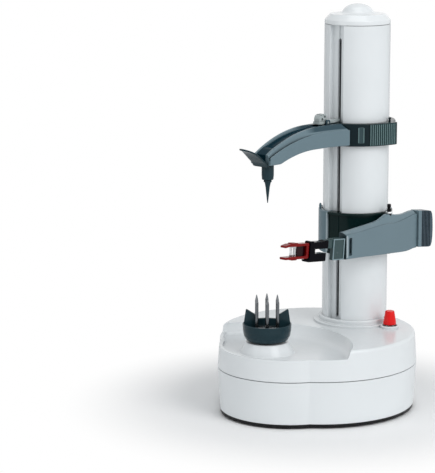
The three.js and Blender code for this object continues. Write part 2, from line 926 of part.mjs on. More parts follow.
function bayBlock(margin, z0, z1) {
  const halfX = bayHalfWidth + margin;
  const halfY = bayHalfLength + margin;
  return block(-halfX, halfX, bayCentreY - halfY, bayCentreY + halfY, z0, z1);
}

function batteryDoor() {
  const body = bayBlock(bayLedge - gap, footProud, footProud + doorThick);
  const thumb = block(-cellPitch / 2, cellPitch / 2, bayCentreY + bayHalfLength - bayWall,
    bayCentreY + bayHalfLength, footProud - overrun, footProud + doorThick / 2);
  return piece("battery_door", body.subtract(thumb), blackPlastic());
}

function rubberFeet() {
  return feetPlaces.map(([x, y], i) =>
    piece(`rubber_foot_${i + 1}`, rod(footRadius, 0, footHeight), rubber(), [x, y, 0]));
}

function batteryCells() {
  const cells = [];
  for (let i = 0; i < cellCount; i += 1) {
    const profile = [
      [0, -cellLength / 2],
      [cellRadius, -cellLength / 2],
      [cellRadius, cellLength / 2],
      [cellNubRadius, cellLength / 2],
      [cellNubRadius, cellLength / 2 + cellNubHeight],
      [0, cellLength / 2 + cellNubHeight],
    ];
    const cell = piece(`battery_cell_${i + 1}`, turned(profile, smallFacets), greyPlastic());
    cell.rotation.x = i % 2 ? Math.PI / 2 : -Math.PI / 2;
    cell.position.set(cellPitch * (i - (cellCount - 1) / 2), bayCentreY, cellCentreZ);
    cells.push(cell);
  }
  return cells;
}

function contactPlate(name, side) {
  const outer = bayCentreY + side * (bayHalfLength - gap);
  const inner = outer - side * contactThick;
  const bottom = cellCentreZ - contactHeight / 2;
  const body = block(-bayHalfWidth + gap, bayHalfWidth - gap, Math.min(outer, inner), Math.max(outer, inner),
    bottom, bottom + contactHeight);
  return piece(name, body, steel());
}

// Side wall of the base below the parting line
function lowerHousing() {
  const bottom = plateTop + gap;
  const top = partingHeight - partingGap / 2;
  const body = baseLoft([
    [-lowerDraft, bottom],
    [0, top],
  ]).subtract(baseLoft([
    [-lowerDraft - wall, bottom - overrun],
    [-wall, top + overrun],
  ]));
  return piece("lower_housing", body, whitePlastic());
}

// Deck, ramp, tray, cone and the posts that hold the case together
function upperHousing() {
  const bottom = partingHeight + partingGap / 2;
  const top = -upperDraft - rimRound;
  let body = baseLoft([
    [0, bottom],
    [-upperDraft, deckHeight - rimRound],
    [-upperDraft - rimRound * rimEaseShare, deckHeight - rimRound * rimEaseShare],
    [top, deckHeight],
  ]);
  const inner = baseLoft([
    [-wall, bottom - overrun],
    [-upperDraft - wall, deckHeight - wall],
  ]).subtract(rampRegion(wall, wall));
  body = body.subtract(inner);
  const tray = rampRegion(0, 0);
  const insideLip = baseLoft([
    [-upperDraft - trayLip, trayFloor - overrun],
    [-upperDraft - trayLip, deckHeight + 2 * overrun],
  ]);
  const reach = mainRadius + lobeRadius;
  const aboveRim = block(-reach, reach, lobeCentreY - reach, mainCentreY + reach, lowRimHeight,
    deckHeight + 2 * overrun);
  body = body.subtract(tray.intersect(insideLip)).subtract(tray.intersect(aboveRim));
  const cone = rod(coneFootRadius, trayFloor - wall / 2, coneTop, wideFacets, 0, spindleY, coneTopRadius);
  const coneInside = rod(coneFootRadius - wall, trayFloor - wall - overrun, coneTop - wall, wideFacets, 0,
    spindleY, coneTopRadius - wall);
  const sleeveFloor = coneTop - bushLength - wall;
  body = body.add(cone).subtract(coneInside);
  body = body.add(rod(bushSleeveRadius, sleeveFloor, coneTop - wall / 2, mediumFacets, 0, spindleY));
  body = body.subtract(rod(bushRadius + gap, sleeveFloor + wall / 2, coneTop + overrun, mediumFacets, 0,
    spindleY));
  body = body.subtract(rod(spindleRadius + runningGap, sleeveFloor - overrun, coneTop, mediumFacets,
    0, spindleY));
  for (const [x, y] of postPlaces) {
    const postTop = postCeiling(y);
    body = body.add(rod(postRadius, plateTop + gap, postTop, smallFacets, x, y));
    body = body.subtract(screwHole(plateTop - overrun, plateTop + screwLength + gap, x, y));
  }
  body = body.subtract(rod(threadRadius + runningGap + gap, deckHeight - wall - overrun, deckHeight + overrun,
    mediumFacets, 0, leadScrewY));
  for (const [x, y] of bossPlaces) {
    body = body.subtract(screwHole(deckHeight - wall - overrun, deckHeight + overrun, x, y));
  }
  body = body.subtract(rod(buttonStemRadius + runningGap, deckHeight - wall - overrun, deckHeight + overrun,
    mediumFacets, buttonX, buttonY));
  return piece("upper_housing", body, whitePlastic());
}

// The posts end inside the skin above them, which is lower under the tray
function postCeiling(y) {
  const skinTop = y < mainCentreY - mainRadius / 2 ? trayFloor : deckHeight;
  return skinTop - wall / 2;
}

function caseScrews() {
  return postPlaces.map(([x, y], i) =>
    piece(`case_screw_${i + 1}`, fastener(screwLength), steel(), [x, y, footProud + screwHeadThick]));
}

function columnScrews() {
  const headTop = deckHeight - wall - gap;
  const length = columnBottom + columnBossHeight / 2 - headTop;
  return bossPlaces.map(([x, y], i) =>
    piece(`column_screw_${i + 1}`, fastener(length), steel(), [x, y, headTop]));
}

// Gear plate on four legs, with raised seats for what turns on it
function gearPlate() {
  const frontY = spindleY - plateBarEndMargin;
  const rearY = leadScrewY + plateBarEndMargin;
  const wingX = motorX - plateWingMargin + legRadius;
  let body = block(-plateBarHalfWidth, plateBarHalfWidth, frontY, rearY, gearPlateFloor, gearPlateTop);
  const wingFront = idlerY - plateWingMargin / 2;
  body = body.add(block(wingX, 0, wingFront, motorY + plateWingMargin, gearPlateFloor, gearPlateTop));
  for (const [x, y] of legPlaces) {
    body = body.add(rod(legRadius, plateTop + gap, gearPlateTop - gap, smallFacets, x, y));
  }
  const seat = gearFloor - gap;
  const axles = [[compoundX, idlerY], [0, idlerY]];
  for (const [x, y] of axles) {
    body = body.add(rod(2 * axleRadius, gearPlateTop - gap, seat, smallFacets, x, y));
    body = body.subtract(rod(axleRadius + gap, gearPlateFloor - overrun, seat + overrun, smallFacets, x, y));
  }
  const shafts = [[0, spindleY, spindleRadius], [0, leadScrewY, screwRadius]];
  for (const [x, y, radius] of shafts) {
    body = body.add(rod(2 * radius, gearPlateTop - gap, seat, mediumFacets, x, y));
    body = body.subtract(rod(radius + gap, gearPlateFloor - overrun, seat + overrun, mediumFacets, x, y));
  }
  body = body.subtract(rod(motorNoseRadius + gap, gearPlateFloor - overrun, gearPlateTop + overrun, smallFacets,
    motorX, motorY));
  return piece("gear_plate", body, greyPlastic());
}

function axle(name, x, top) {
  return piece(name, rod(axleRadius, gearPlateFloor, top, smallFacets), steel(), [x, idlerY, 0]);
}

// Motor can with two flats and a nose that sits in the gear plate
function motor() {
  let body = rod(motorRadius, motorBottom, motorTop, mediumFacets);
  const reach = motorRadius + overrun;
  body = body.intersect(block(-motorFlat, motorFlat, -reach, reach, motorBottom - overrun, motorTop + overrun));
  body = body.add(rod(motorNoseRadius, motorTop - gap, motorTop + motorNoseHeight, smallFacets));
  body = body.subtract(rod(motorShaftRadius + gap, motorTop - motorNoseHeight, motorTop + 2 * motorNoseHeight,
    tinyFacets));
  return piece("motor", body, steel(), [motorX, motorY, 0]);
}

// Everything that turns, each in a group at its own axis
const spindlePhase = 0;
const idlerPhase = meshPhase(Math.PI / 2, spindlePhase, spindleTeeth, idlerTeeth);
const screwPhase = meshPhase(Math.PI / 2, idlerPhase, idlerTeeth, screwTeeth);
const smallPhase = meshPhase(Math.PI, idlerPhase, idlerTeeth, smallTeeth);
const motorPhase = meshPhase(motorSide, 0, bigTeeth, motorTeeth);

function motorPinion() {
  const shaftBottom = motorTop - motorNoseHeight + gap;
  const body = gear(motorTeeth, motorGearModule, upperGearFloor, upperGearFloor + upperGearThick, motorPhase)
    .add(rod(motorShaftRadius, shaftBottom, upperGearFloor + overrun, tinyFacets));
  return piece("motor_pinion", body, brass(), [motorX, motorY, 0]);
}

function compoundGear() {
  const bigTop = upperGearFloor + upperGearThick;
  const body = gear(smallTeeth, gearModule, gearFloor, upperGearFloor + gap, smallPhase)
    .add(gear(bigTeeth, motorGearModule, upperGearFloor, bigTop, 0))
    .subtract(rod(axleRadius + gap, gearFloor - overrun, bigTop + overrun, smallFacets));
  return piece("compound_gear", body, naturalPlastic(), [compoundX, idlerY, 0]);
}

function idlerGear() {
  const body = gear(idlerTeeth, gearModule, gearFloor, gearFloor + gearThick, idlerPhase)
    .subtract(rod(axleRadius + gap, gearFloor - overrun, gearFloor + gearThick + overrun, smallFacets));
  return piece("idler_gear", body, naturalPlastic(), [0, idlerY, 0]);
}

function spindleGroup() {
  const group = new THREE.Group();
  group.position.set(0, spindleY, 0);
  const shaft = rod(spindleRadius, gearPlateFloor, cupBottom + cupSocketDepth - gap);
  const wheel = gear(spindleTeeth, gearModule, gearFloor, gearFloor + gearThick, spindlePhase)
    .subtract(rod(spindleRadius + gap, gearFloor - overrun, gearFloor + gearThick + overrun));
  group.add(piece("spindle_shaft", shaft, steel()));
  group.add(piece("spindle_gear", wheel, naturalPlastic()));
  group.add(cup());
  group.add(prongs());
  return group;
}

// Cup with its two fins, open at the top
function cup() {
  const outside = [
    [0, cupBottom],
    [cupFootRadius, cupBottom],
    [cupHeelRadius, cupBottom + cupHeelHeight],
    [cupBellyRadius, cupBottom + cupBellyHeight],
    [cupSideRadius, cupBottom + cupSideHeight],
    [cupRimRadius, cupRim],
    [cupRimRadius - cupWall, cupRim],
    [cupRimRadius - cupWall - cupWall / 4, cupFloor],
    [0, cupFloor],
  ];
  const finOuter = cupRimRadius - cupWall / 2;
  const fin = new THREE.Shape([
    new THREE.Vector2(finInnerRadius, cupFloor - cupWall / 2),
    new THREE.Vector2(finOuter, cupFloor - cupWall / 2),
    new THREE.Vector2(finOuter, cupRim),
    new THREE.Vector2(finTopRadius, finTop),
    new THREE.Vector2(finInnerRadius, finInnerTop),
  ]);
  let body = turned(outside);
  for (const side of [0, Math.PI]) {
    const plate = new THREE.ExtrudeGeometry(fin, { depth: finThick, bevelEnabled: false });
    plate.translate(0, 0, -finThick / 2);
    plate.rotateX(Math.PI / 2);
    plate.rotateZ(cupTurn + side);
    body = body.add(solid(plate));
  }
  const socket = rod(spindleRadius + gap, cupBottom - overrun, cupBottom + cupSocketDepth, mediumFacets);
  body = body.add(rod(cupHubRadius, cupFloor - cupWall, cupFloor + cupWall / 2, mediumFacets)).subtract(socket);
  for (let i = 0; i < prongCount; i += 1) {
    const angle = cupTurn + (2 * Math.PI * (i + 0.5)) / prongCount;
    const x = prongCircle * Math.cos(angle);
    const y = prongCircle * Math.sin(angle);
    body = body.subtract(rod(prongRadius + gap, cupFloor - cupWall / 2, cupRim, tinyFacets, x, y));
  }
  return piece("cup", body, darkSlatePlastic());
}

// Steel prongs standing on one ring that lies on the cup's floor
function prongs() {
  const ringFloor = cupFloor + gap;
  const ringTop = ringFloor + prongDiscThick;
  let body = rod(prongDiscRadius, ringFloor, ringTop, mediumFacets)
    .subtract(rod(cupHubRadius + gap, ringFloor - overrun, ringTop + overrun, mediumFacets));
  for (const side of [0, Math.PI]) {
    const slot = new THREE.BoxGeometry(2 * cupRimRadius, finThick + 2 * gap, 2 * cupWall);
    slot.translate(finInnerRadius - gap + cupRimRadius, 0, ringFloor);
    slot.rotateZ(cupTurn + side);
    body = body.subtract(solid(slot));
  }
  for (let i = 0; i < prongCount; i += 1) {
    const angle = cupTurn + (2 * Math.PI * (i + 0.5)) / prongCount;
    const x = prongCircle * Math.cos(angle);
    const y = prongCircle * Math.sin(angle);
    const shoulder = prongTop - prongTipLength;
    body = body.add(rod(prongRadius, cupFloor - cupWall / 2 + gap, shoulder, tinyFacets, x, y));
    body = body.add(rod(prongRadius, shoulder - gap, prongTop, tinyFacets, x, y, prongRadius / 8));
  }
  return piece("prongs", body, steel());
}

function spindleBush() {
  const top = coneTop;
  return piece("spindle_bush", ring(bushRadius, spindleRadius + runningGap, top - bushLength, top - gap), brass(),
    [0, spindleY, 0]);
}

// Lead screw: an offset section twisted up the shaft, between two plain journals
function leadScrewGroup() {
  const group = new THREE.Group();
  group.position.set(0, leadScrewY, 0);
  const turns = (threadTop - threadBottom) / threadLead;
  const rows = Math.round(turns * threadSteps);
  const rings = [];
  for (let i = 0; i <= rows; i += 1) {
    const twist = (2 * Math.PI * i) / threadSteps;
    const z = threadBottom + ((threadTop - threadBottom) * i) / rows;
    const points = [];
    for (let side = 0; side < threadSides; side += 1) {
      const angle = (2 * Math.PI * side) / threadSides;
      const x = threadOffset * Math.cos(twist) + (threadRadius - threadOffset) * Math.cos(angle);
      const y = threadOffset * Math.sin(twist) + (threadRadius - threadOffset) * Math.sin(angle);
      points.push(new THREE.Vector3(x, y, z));
    }
    rings.push(points);
  }
  const body = loft(rings)
    .add(rod(screwRadius, gearPlateFloor, threadBottom + gap, mediumFacets))
    .add(rod(screwRadius, threadTop - gap, columnTop, mediumFacets));
  const wheel = gear(screwTeeth, gearModule, gearFloor, gearFloor + gearThick, screwPhase)
    .subtract(rod(screwRadius + gap, gearFloor - overrun, gearFloor + gearThick + overrun));
  group.add(piece("lead_screw", body, steel()));
  group.add(piece("screw_gear", wheel, naturalPlastic()));
  return group;
}

function screwBush() {
  const top = columnTop + gap;
  return piece("screw_bush", ring(upperBushRadius, screwRadius + runningGap, top - upperBushLength, top), brass(),
    [0, leadScrewY, 0]);
}

// Column tube with its front channel and the slit for the carriage's nut
function columnShell() {
  const channel = block(-channelHalfWidth, channelHalfWidth, -columnRadius - overrun, channelFloorY,
    columnBottom - overrun, columnTop + overrun);
  const sideX = channelHalfWidth + channelWall;
  const backY = channelFloorY + channelWall;
  const channelSkin = block(-sideX, sideX, -columnRadius - overrun, backY, columnBottom - 2 * overrun,
    columnTop + 2 * overrun);
  const bore = rod(columnBore, columnBottom - overrun, columnTop + overrun, wideFacets).subtract(channelSkin);
  let body = rod(columnRadius, columnBottom, columnTop, wideFacets).subtract(bore).subtract(channel);
  const slit = block(-slitHalfWidth, slitHalfWidth, channelFloorY - overrun, backY + overrun,
    columnBottom + slitEnd, columnTop - slitEnd - capPlugDepth);
  body = body.subtract(slit);
  for (const [x, y] of bossPlaces) {
    body = body.add(rod(columnBossRadius, columnBottom, columnBottom + columnBossHeight, smallFacets, x, y));
    body = body.subtract(screwHole(columnBottom - overrun, columnBottom + columnBossHeight / 2 + gap, x, y));
  }
  return piece("column_shell", body, whitePlastic());
}

function columnFootRing() {
  const inner = columnRadius + gap;
  const profile = [
    [inner, columnBottom],
    [footStepRadius, columnBottom],
    [footStepRadius, columnBottom + footStepHeight],
    [footRingRadius, columnBottom + footStepHeight],
    [footRingRadius, footRingTop - footRingChamfer],
    [footRingRadius - footRingChamfer, footRingTop],
    [inner, footRingTop],
    [inner, columnBottom],
  ];
  const stem = rod(bezelRadius + gap, columnBottom - overrun, footRingTop + overrun, mediumFacets, buttonX,
    buttonY);
  return piece("column_foot_ring", turned(profile).subtract(stem), whitePlastic());
}

// Domed cap with a plug inside the column and a seat for the screw's bush
function topCap() {
  const seam = columnTop + capSeam;
  const profile = [
    [0, seam],
    [columnRadius, seam],
    [columnRadius, capSideTop],
    [(columnRadius + capShoulderRadius) / 2 + capSeam, (capSideTop + capShoulderTop) / 2 + capSeam],
    [capShoulderRadius, capShoulderTop],
    [capGrooveRadius, capShoulderTop],
    [capDomeRadius, capDomeFoot],
    [capDomeRadius * Math.cos(Math.PI / 6), capDomeFoot + (capTop - capDomeFoot) * Math.sin(Math.PI / 6)],
    [capDomeRadius * Math.cos(Math.PI / 3), capDomeFoot + (capTop - capDomeFoot) * Math.sin(Math.PI / 3)],
    [0, capTop],
  ];
  const plugRadius = columnBore - gap;
  const bushSeat = upperBushRadius + gap;
  const plugFloor = columnTop - capPlugDepth;
  let body = turned(profile);
  body = body.subtract(rod(plugRadius - capPlugWall, seam - overrun, capShoulderTop - capRoof));
  const notchX = channelHalfWidth + channelWall + gap;
  const notch = block(-notchX, notchX, -columnRadius, channelFloorY + channelWall + gap, plugFloor - overrun,
    columnTop + gap);
  const plug = ring(plugRadius, plugRadius - capPlugWall, plugFloor, seam + gap, wideFacets).subtract(notch);
  body = body.add(plug);
  const seatFloor = columnTop + gap - upperBushLength;
  body = body.add(rod(bushSeat + upperBushWall - gap, seatFloor, capShoulderTop - capRoof / 2, mediumFacets,
    0, leadScrewY));
  body = body.subtract(rod(bushSeat, seatFloor - overrun, columnTop + 2 * gap, mediumFacets, 0, leadScrewY));
  return piece("top_cap", body, whitePlastic());
}

// Button: a hollow red cone on a stem that reaches the switch
function powerButton() {
  const foot = deckHeight + buttonTravel + gap;
  const stemFoot = switchTop + gap;
  const body = rod(buttonFootRadius, foot, buttonTop, mediumFacets, 0, 0, buttonTopRadius)
    .subtract(rod(buttonBoreRadius, foot - overrun, buttonBoreTop, mediumFacets))
    .add(rod(buttonStemRadius, stemFoot, buttonBoreTop + gap, smallFacets));
  return piece("power_button", body, redPlastic(), [buttonX, buttonY, 0]);
}

function buttonBezel() {
  const top = deckHeight + gap + bezelHeight;
  const body = ring(bezelRadius, buttonFootRadius + runningGap, deckHeight + gap, top);
  return piece("button_bezel", body, whitePlastic(), [buttonX, buttonY, 0]);
}

function buttonSpring() {
  const outer = buttonBoreRadius - gap;
  const body = ring(outer, outer - springWire, deckHeight + gap, buttonBoreTop - gap, mediumFacets);
  return piece("button_spring", body, steel(), [buttonX, buttonY, 0]);
}

function powerSwitch() {
  const slack = buttonTravel + gap;
  let body = block(-switchWidth / 2, switchWidth / 2, -switchLength / 2, switchLength / 2, switchBottom,
    switchTop);
  body = body.subtract(rod(buttonStemRadius + gap, switchTop - slack, switchTop + overrun, smallFacets));
  const armTop = deckHeight - wall - gap;
  const armX = switchWidth / 2;
  for (const side of [-1, 1]) {
    const arm = block(Math.min(side * armX, side * (armX - wall)), Math.max(side * armX, side * (armX - wall)),
      -switchLength / 4, switchLength / 4, switchTop - gap, armTop);
    body = body.add(arm);
  }
  return piece("power_switch", body, blackPlastic(), [buttonX, buttonY, 0]);
}

// Key that runs in the column's channel, with the bore already cut away from it
function channelKey(z0, z1) {
  return block(-keyHalfWidth, keyHalfWidth, -collarBore - overrun, keyFloorY, z0, z1);
}

// Carriage collar with its key and the lug that carries the lever's pin
function carriage() {
  let body = ring(carriageRadius, collarBore, carriageBottom, carriageTop, wideFacets);
  body = body.add(channelKey(carriageBottom, carriageTop));
  body = body.add(block(carriageRadius - overrun, pinX, -lugHalfWidth, lugHalfWidth,
    knuckleBottom, knuckleTop));
  body = body.add(rod(knuckleRadius, knuckleBottom, knuckleTop, mediumFacets, pinX, 0));
  body = body.subtract(rod(pinRadius + gap, knuckleBottom - overrun, knuckleTop + overrun, smallFacets,
    pinX, 0));
  const slot = block(-slitHalfWidth, slitHalfWidth, keyFloorY - 2 * channelWall, keyFloorY + overrun,
    nutBottom - gap, nutTop + gap);
  return piece("carriage", body.subtract(slot), slatePlastic());
}

// Half nut behind the channel, with a tongue through the slit into the carriage's key
function carriageNut() {
  const frontY = channelFloorY + channelWall + gap;
  const tongue = slitHalfWidth - gap;
  let body = block(-nutHalfWidth, nutHalfWidth, frontY, leadScrewY, nutBottom, nutTop);
  body = body.subtract(rod(threadRadius + gap, nutBottom - overrun, nutTop + overrun, mediumFacets, 0,
    leadScrewY));
  body = body.add(block(-tongue, tongue, keyFloorY - 2 * channelWall + gap, frontY + gap, nutBottom, nutTop));
  return piece("carriage_nut", body, naturalPlastic());
}

function pivotPin() {
  const body = rod(pinRadius, pinBottom, pinTop, smallFacets)
    .add(rod(pinHeadRadius, leverCrown + gap, leverCrown + gap + pinHeadThick, smallFacets));
  return piece("pivot_pin", body, steel(), [pinX, 0, 0]);
}

function torsionSpring() {
  const body = ring(torsionRadius, torsionRadius - torsionWire, knuckleTop + gap, torsionTop, smallFacets);
  return piece("torsion_spring", body, steel(), [pinX, 0, 0]);
}

// Height of one of the lever's lines at a share of its length
function leverHeight(line, along) {
  const after = line.findIndex(([share]) => along <= share);
  if (after === 0) {
    return leverBottom + leverDepth * line[0][1];
  }
  if (after < 0) {
    return leverBottom + leverDepth * line.at(-1)[1];
  }
  const [from, low] = line[after - 1];
  const [to, high] = line[after];
  return leverBottom + leverDepth * THREE.MathUtils.mapLinear(along, from, to, low, high);
}

// Peeling arm: a deep plate with a sloping upper edge, a pocket towards the column and two knuckles on the pin
function peelArm() {
  const rings = leverStationShares.map((along) => {
    const y = THREE.MathUtils.lerp(leverFrontY, leverRearY, along);
    const foot = leverHeight(leverFootShares, along);
    const ridge = leverHeight(leverRidgeShares, along);
    return [
      new THREE.Vector3(leverInnerX, y, foot),
      new THREE.Vector3(leverOuterX, y, foot),
      new THREE.Vector3(leverOuterX, y, leverHeight(leverShoulderShares, along)),
      new THREE.Vector3(leverRidgeX, y, ridge),
      new THREE.Vector3(leverInnerX, y, ridge),
    ];
  });
  let body = loft(rings, (p) => new THREE.Vector2(p.x, p.z));
  const plateX = leverOuterX - leverPlate;
  const pocket = block(leverInnerX - overrun, plateX, leverFrontY + leverPocketFrontInset,
    leverRearY - leverPocketRearInset, leverPocketBottom, leverPocketBottom + leverPocketHeight);
  const relief = rod(knuckleRadius + runningGap, leverKnuckleBottom, leverKnuckleTop, mediumFacets, pinX, 0);
  body = body.subtract(pocket).subtract(relief);
  const knuckles = [
    [leverKnuckleFloor, leverKnuckleBottom],
    [leverKnuckleTop, leverCrown - 2 * leverPlate],
  ];
  for (const [z0, z1] of knuckles) {
    body = body.add(rod(knuckleRadius, z0, z1, mediumFacets, pinX, 0));
    body = body.add(block(pinX, plateX + gap, -knuckleRadius, knuckleRadius, z0, z1));
  }
  body = body.subtract(rod(pinRadius + gap, leverKnuckleFloor - knuckleRadius, leverCrown + overrun, smallFacets,
    pinX, 0));
  const tail = block(leverTailInnerX, leverTailOuterX, leverRearY - overrun, leverRearY + leverTailLength,
    leverTailBottom, leverTailTop);
  body = body.add(tail);
  body = body.subtract(block(headCentreX - cartridgePegHalfWidth - gap, headCentreX + cartridgePegHalfWidth + gap,
    leverFrontY - overrun, leverFrontY + cartridgePegLength + gap, headCentreZ - cartridgePegHalfHeight - gap,
    headCentreZ + cartridgePegHalfHeight + gap));
  body = body.subtract(block(headCentreX, leverOuterX + overrun, latchSlotY - latchSlotWidth / 2,
    latchSlotY + latchSlotWidth / 2, latchSlotBottom, latchSlotBottom + latchSlotHeight));
  return piece("peel_arm", body, slatePlastic(), [-pinX, 0, 0]);
}

// Outline of Y and Z pairs given a thickness along X
function sidePlate(profile, x0, x1) {
  const shape = new THREE.Shape(profile.map(([y, z]) => new THREE.Vector2(y, z)));
  const geometry = new THREE.ExtrudeGeometry(shape, { depth: x1 - x0, bevelEnabled: false });
  geometry.rotateX(Math.PI / 2);
  geometry.rotateZ(Math.PI / 2);
  geometry.translate(x0, 0, 0);
  return solid(geometry);
}

// Ribbed grip pushed over the lever's tail
function leverGrip() {
  const outline = gripOutlineShares.map(([along, up]) => [
    gripFrontY + gripLength * along,
    gripBottom + gripHeight * up,
  ]);
  let body = sidePlate(outline, gripInnerX, gripOuterX);
  for (let i = 0; i < gripRibs; i += 1) {
    const y = gripFrontY + gripRibInset + gripRibPitch * i;
    body = body.subtract(block(gripOuterX - gripGroove, gripOuterX + overrun, y - gripGrooveWidth / 2,
      y + gripGrooveWidth / 2, carriageBottom, leverCrown));
  }
  body = body.subtract(block(leverTailInnerX - gap, leverTailOuterX + gap, gripFrontY - overrun,
    leverRearY + leverTailLength + gap, leverTailBottom - gap, leverTailTop + gap));
  return piece("lever_grip", body, darkSlatePlastic(), [-pinX, 0, 0]);
}

// Blade head pieces lie along -Y from the lever's end, at their own tilt
function headBlock(halfWidth, s0, s1, h0, h1, x = 0) {
  return block(x - halfWidth, x + halfWidth, -s1, -s0, h0, h1);
}

function headPlate(outline, halfWidth, x = 0) {
  return sidePlate(outline.map(([s, h]) => [-s, h]).reverse(), x - halfWidth, x + halfWidth);
}

function bladeCartridge() {
  const low = cartridgeHalfWidth - cartridgeSetBack;
  let body = headBlock(cartridgeHalfWidth, -cartridgeHalfWidth, cartridgeStep, cartridgeBottom, cartridgeTop);
  body = body.add(headBlock(low, cartridgeStep - gap, cartridgeLength, cartridgeBottom, cartridgeTop));
  const peg = new THREE.BoxGeometry(2 * cartridgePegHalfWidth, cartridgePegLength + overrun,
    2 * cartridgePegHalfHeight);
  peg.translate(0, (cartridgePegLength - overrun) / 2 - gap, 0);
  peg.rotateX(headTilt);
  body = body.intersect(cartridgeSquare()).add(solid(peg));
  return piece("blade_cartridge", body, slatePlastic());
}

// The cartridge's rear face stays upright against the lever's end
function cartridgeSquare() {
  const reach = 2 * (cartridgeTop - cartridgeBottom);
  const space = new THREE.BoxGeometry(reach, reach, reach);
  space.translate(0, -reach / 2 - gap, 0);
  space.rotateX(headTilt);
  return solid(space);
}

// Carrier: a bar, a web at its front and a block that reaches back under it, with a slit between
function bladeCarrier() {
  const rear = cartridgeLength + gap;
  const bar = [
    [rear, carrierBarFoot],
    [carrierFront, carrierBarFoot],
    [carrierFront, carrierBarTop - carrierRound],
    [carrierFront - carrierRound, carrierBarTop],
    [rear, carrierBarTop],
  ];
  const lower = [
    [carrierBlockStart, carrierBlockTop],
    [carrierBlockStart, carrierBlockBottom + carrierRound],
    [carrierBlockStart + carrierRound, carrierBlockBottom],
    [carrierNoseFront - 2 * carrierRound, carrierBlockBottom],
    [carrierNoseFront - carrierRound / 2, carrierBlockBottom + carrierRound / 2],
    [carrierNoseFront, carrierNoseTop],
    [carrierFront, carrierNoseTop],
    [carrierFront, carrierBlockTop],
  ];
  let body = headPlate(bar, carrierHalfWidth).add(headPlate(lower, carrierHalfWidth));
  body = body.add(headBlock(carrierHalfWidth, carrierWebStart, carrierFront, carrierBlockTop - gap,
    carrierBarFoot + gap));
  body = body.subtract(framePin(framePinRadius + gap, framePinStart - gap, carrierFront + overrun));
  return piece("blade_carrier", body, blackPlastic());
}

// Round pin along the head, at the height of the carrier's slit
function framePin(radius, s0, s1) {
  const pin = new THREE.CylinderGeometry(radius, radius, s1 - s0, tinyFacets);
  pin.translate(0, -(s0 + s1) / 2, (carrierBarFoot + carrierBlockTop) / 2);
  return solid(pin);
}

// Red fork that holds the blade, with a thin shield between its prongs, on a pin that turns in the carrier's web
function bladeFrame() {
  const webEnd = frameWebStart + frameWeb;
  const inner = frameHalfHeight - frameProng;
  const tipStart = frameProngFront - frameTipLength;
  const outline = [
    [frameWebStart, -frameHalfHeight + frameRound],
    [frameWebStart + frameRound, -frameHalfHeight],
    [frameProngFront - frameRound, -frameHalfHeight],
    [frameProngFront, -inner],
    [webEnd, -inner],
    [webEnd, inner],
    [tipStart, inner],
    [frameProngFront, inner - frameTipDrop],
    [frameProngFront, inner - frameTipDrop + frameRound],
    [tipStart, frameHalfHeight],
    [frameWebStart + frameRound, frameHalfHeight],
    [frameWebStart, frameHalfHeight - frameRound],
  ];
  const shield = [
    [webEnd - gap, -inner - gap],
    [webEnd + frameShieldLength, -inner - gap],
    [webEnd + frameShieldLength, inner + gap],
    [webEnd - gap, inner + gap],
  ];
  let body = headPlate(outline, frameHalfWidth, frameX);
  body = body.add(headPlate(shield, frameShieldHalfWidth, frameX));
  for (const side of [-1, 1]) {
    const z = [side * bladeHalfHeight, side * (bladeHalfHeight + bladePivotDepth + gap)];
    body = body.subtract(rod(bladePivotRadius + gap, Math.min(...z), Math.max(...z), tinyFacets, frameX,
      -bladeStation));
  }
  body = body.add(framePin(framePinRadius, framePinStart, frameWebStart + gap));
  return piece("blade_frame", body, redPlastic());
}

// Blade: a slotted strip on two pivots
function blade() {
  const half = bladeWidth / 2;
  let body = block(-bladeThick / 2, bladeThick / 2, -half, half, -bladeHalfHeight, bladeHalfHeight);
  body = body.subtract(block(-bladeThick, bladeThick, -half / 4, half / 3, -bladeHalfHeight + bladeThick,
    bladeHalfHeight - bladeThick));
  for (const side of [-1, 1]) {
    const z = [side * (bladeHalfHeight - gap), side * (bladeHalfHeight + bladePivotDepth)];
    body = body.add(rod(bladePivotRadius, Math.min(...z), Math.max(...z), tinyFacets));
  }
  return piece("blade", body, steel(), [frameX, -bladeStation, 0]);
}

function bladeHead() {
  const group = new THREE.Group();
  group.position.set(headCentreX - pinX, leverFrontY, headCentreZ);
  group.rotation.x = -headTilt;
  group.add(bladeCartridge(), bladeCarrier(), bladeFrame(), blade());
  return group;
}

function leverGroup() {
  const group = new THREE.Group();
  group.position.set(pinX, 0, 0);
  group.add(peelArm(), leverGrip(), bladeHead());
  return group;
}

// Ribbed collar of the upper arm with its key and the tongue that the arm is pushed onto
function upperCollar() {
  let body = ring(collarRadius, collarBore, collarBottom, collarTop, wideFacets);
  for (const side of [-1, 1]) {
    for (let i = 0; i < ribCount; i += 1) {
      const rib = new THREE.BoxGeometry(ribWidth, ribHeight + overrun, collarTop - collarBottom);
      rib.translate(0, -collarRadius - (ribHeight - overrun) / 2, (collarTop + collarBottom) / 2);
      rib.rotateZ(side * (ribStart + i * ribStep));
      body = body.add(solid(rib));
    }
    const recess = new THREE.BoxGeometry(windowWidth, 2 * windowDepth, windowHeight);
    recess.translate(0, -collarRadius, (collarTop + collarBottom) / 2);
    recess.rotateZ(side * windowAngle);
    body = body.subtract(solid(recess));
  }
  body = body.add(channelKey(collarBottom, collarTop));
  body = body.add(block(-tongueHalfWidth, tongueHalfWidth, -collarRadius - tongueLength, -collarBore - overrun,
    tongueBottom, tongueTop));
  return piece("upper_collar", body, darkSlatePlastic());
}

const arcDrop = (y, peakY, radius) => {
  const run = Math.max(0, peakY - y);
  return radius - Math.sqrt(radius * radius - run * run);
};

function armWidthAt(y) {
  const narrow = THREE.MathUtils.mapLinear(y, armNoseY, armFlareY, armNoseHalfWidth, armHalfWidth);
  const flare = THREE.MathUtils.clamp((y - armFlareY) / (armRearY - armFlareY), 0, 1);
  return Math.min(narrow, armHalfWidth) + (armRearHalfWidth - armHalfWidth) * flare * flare;
}

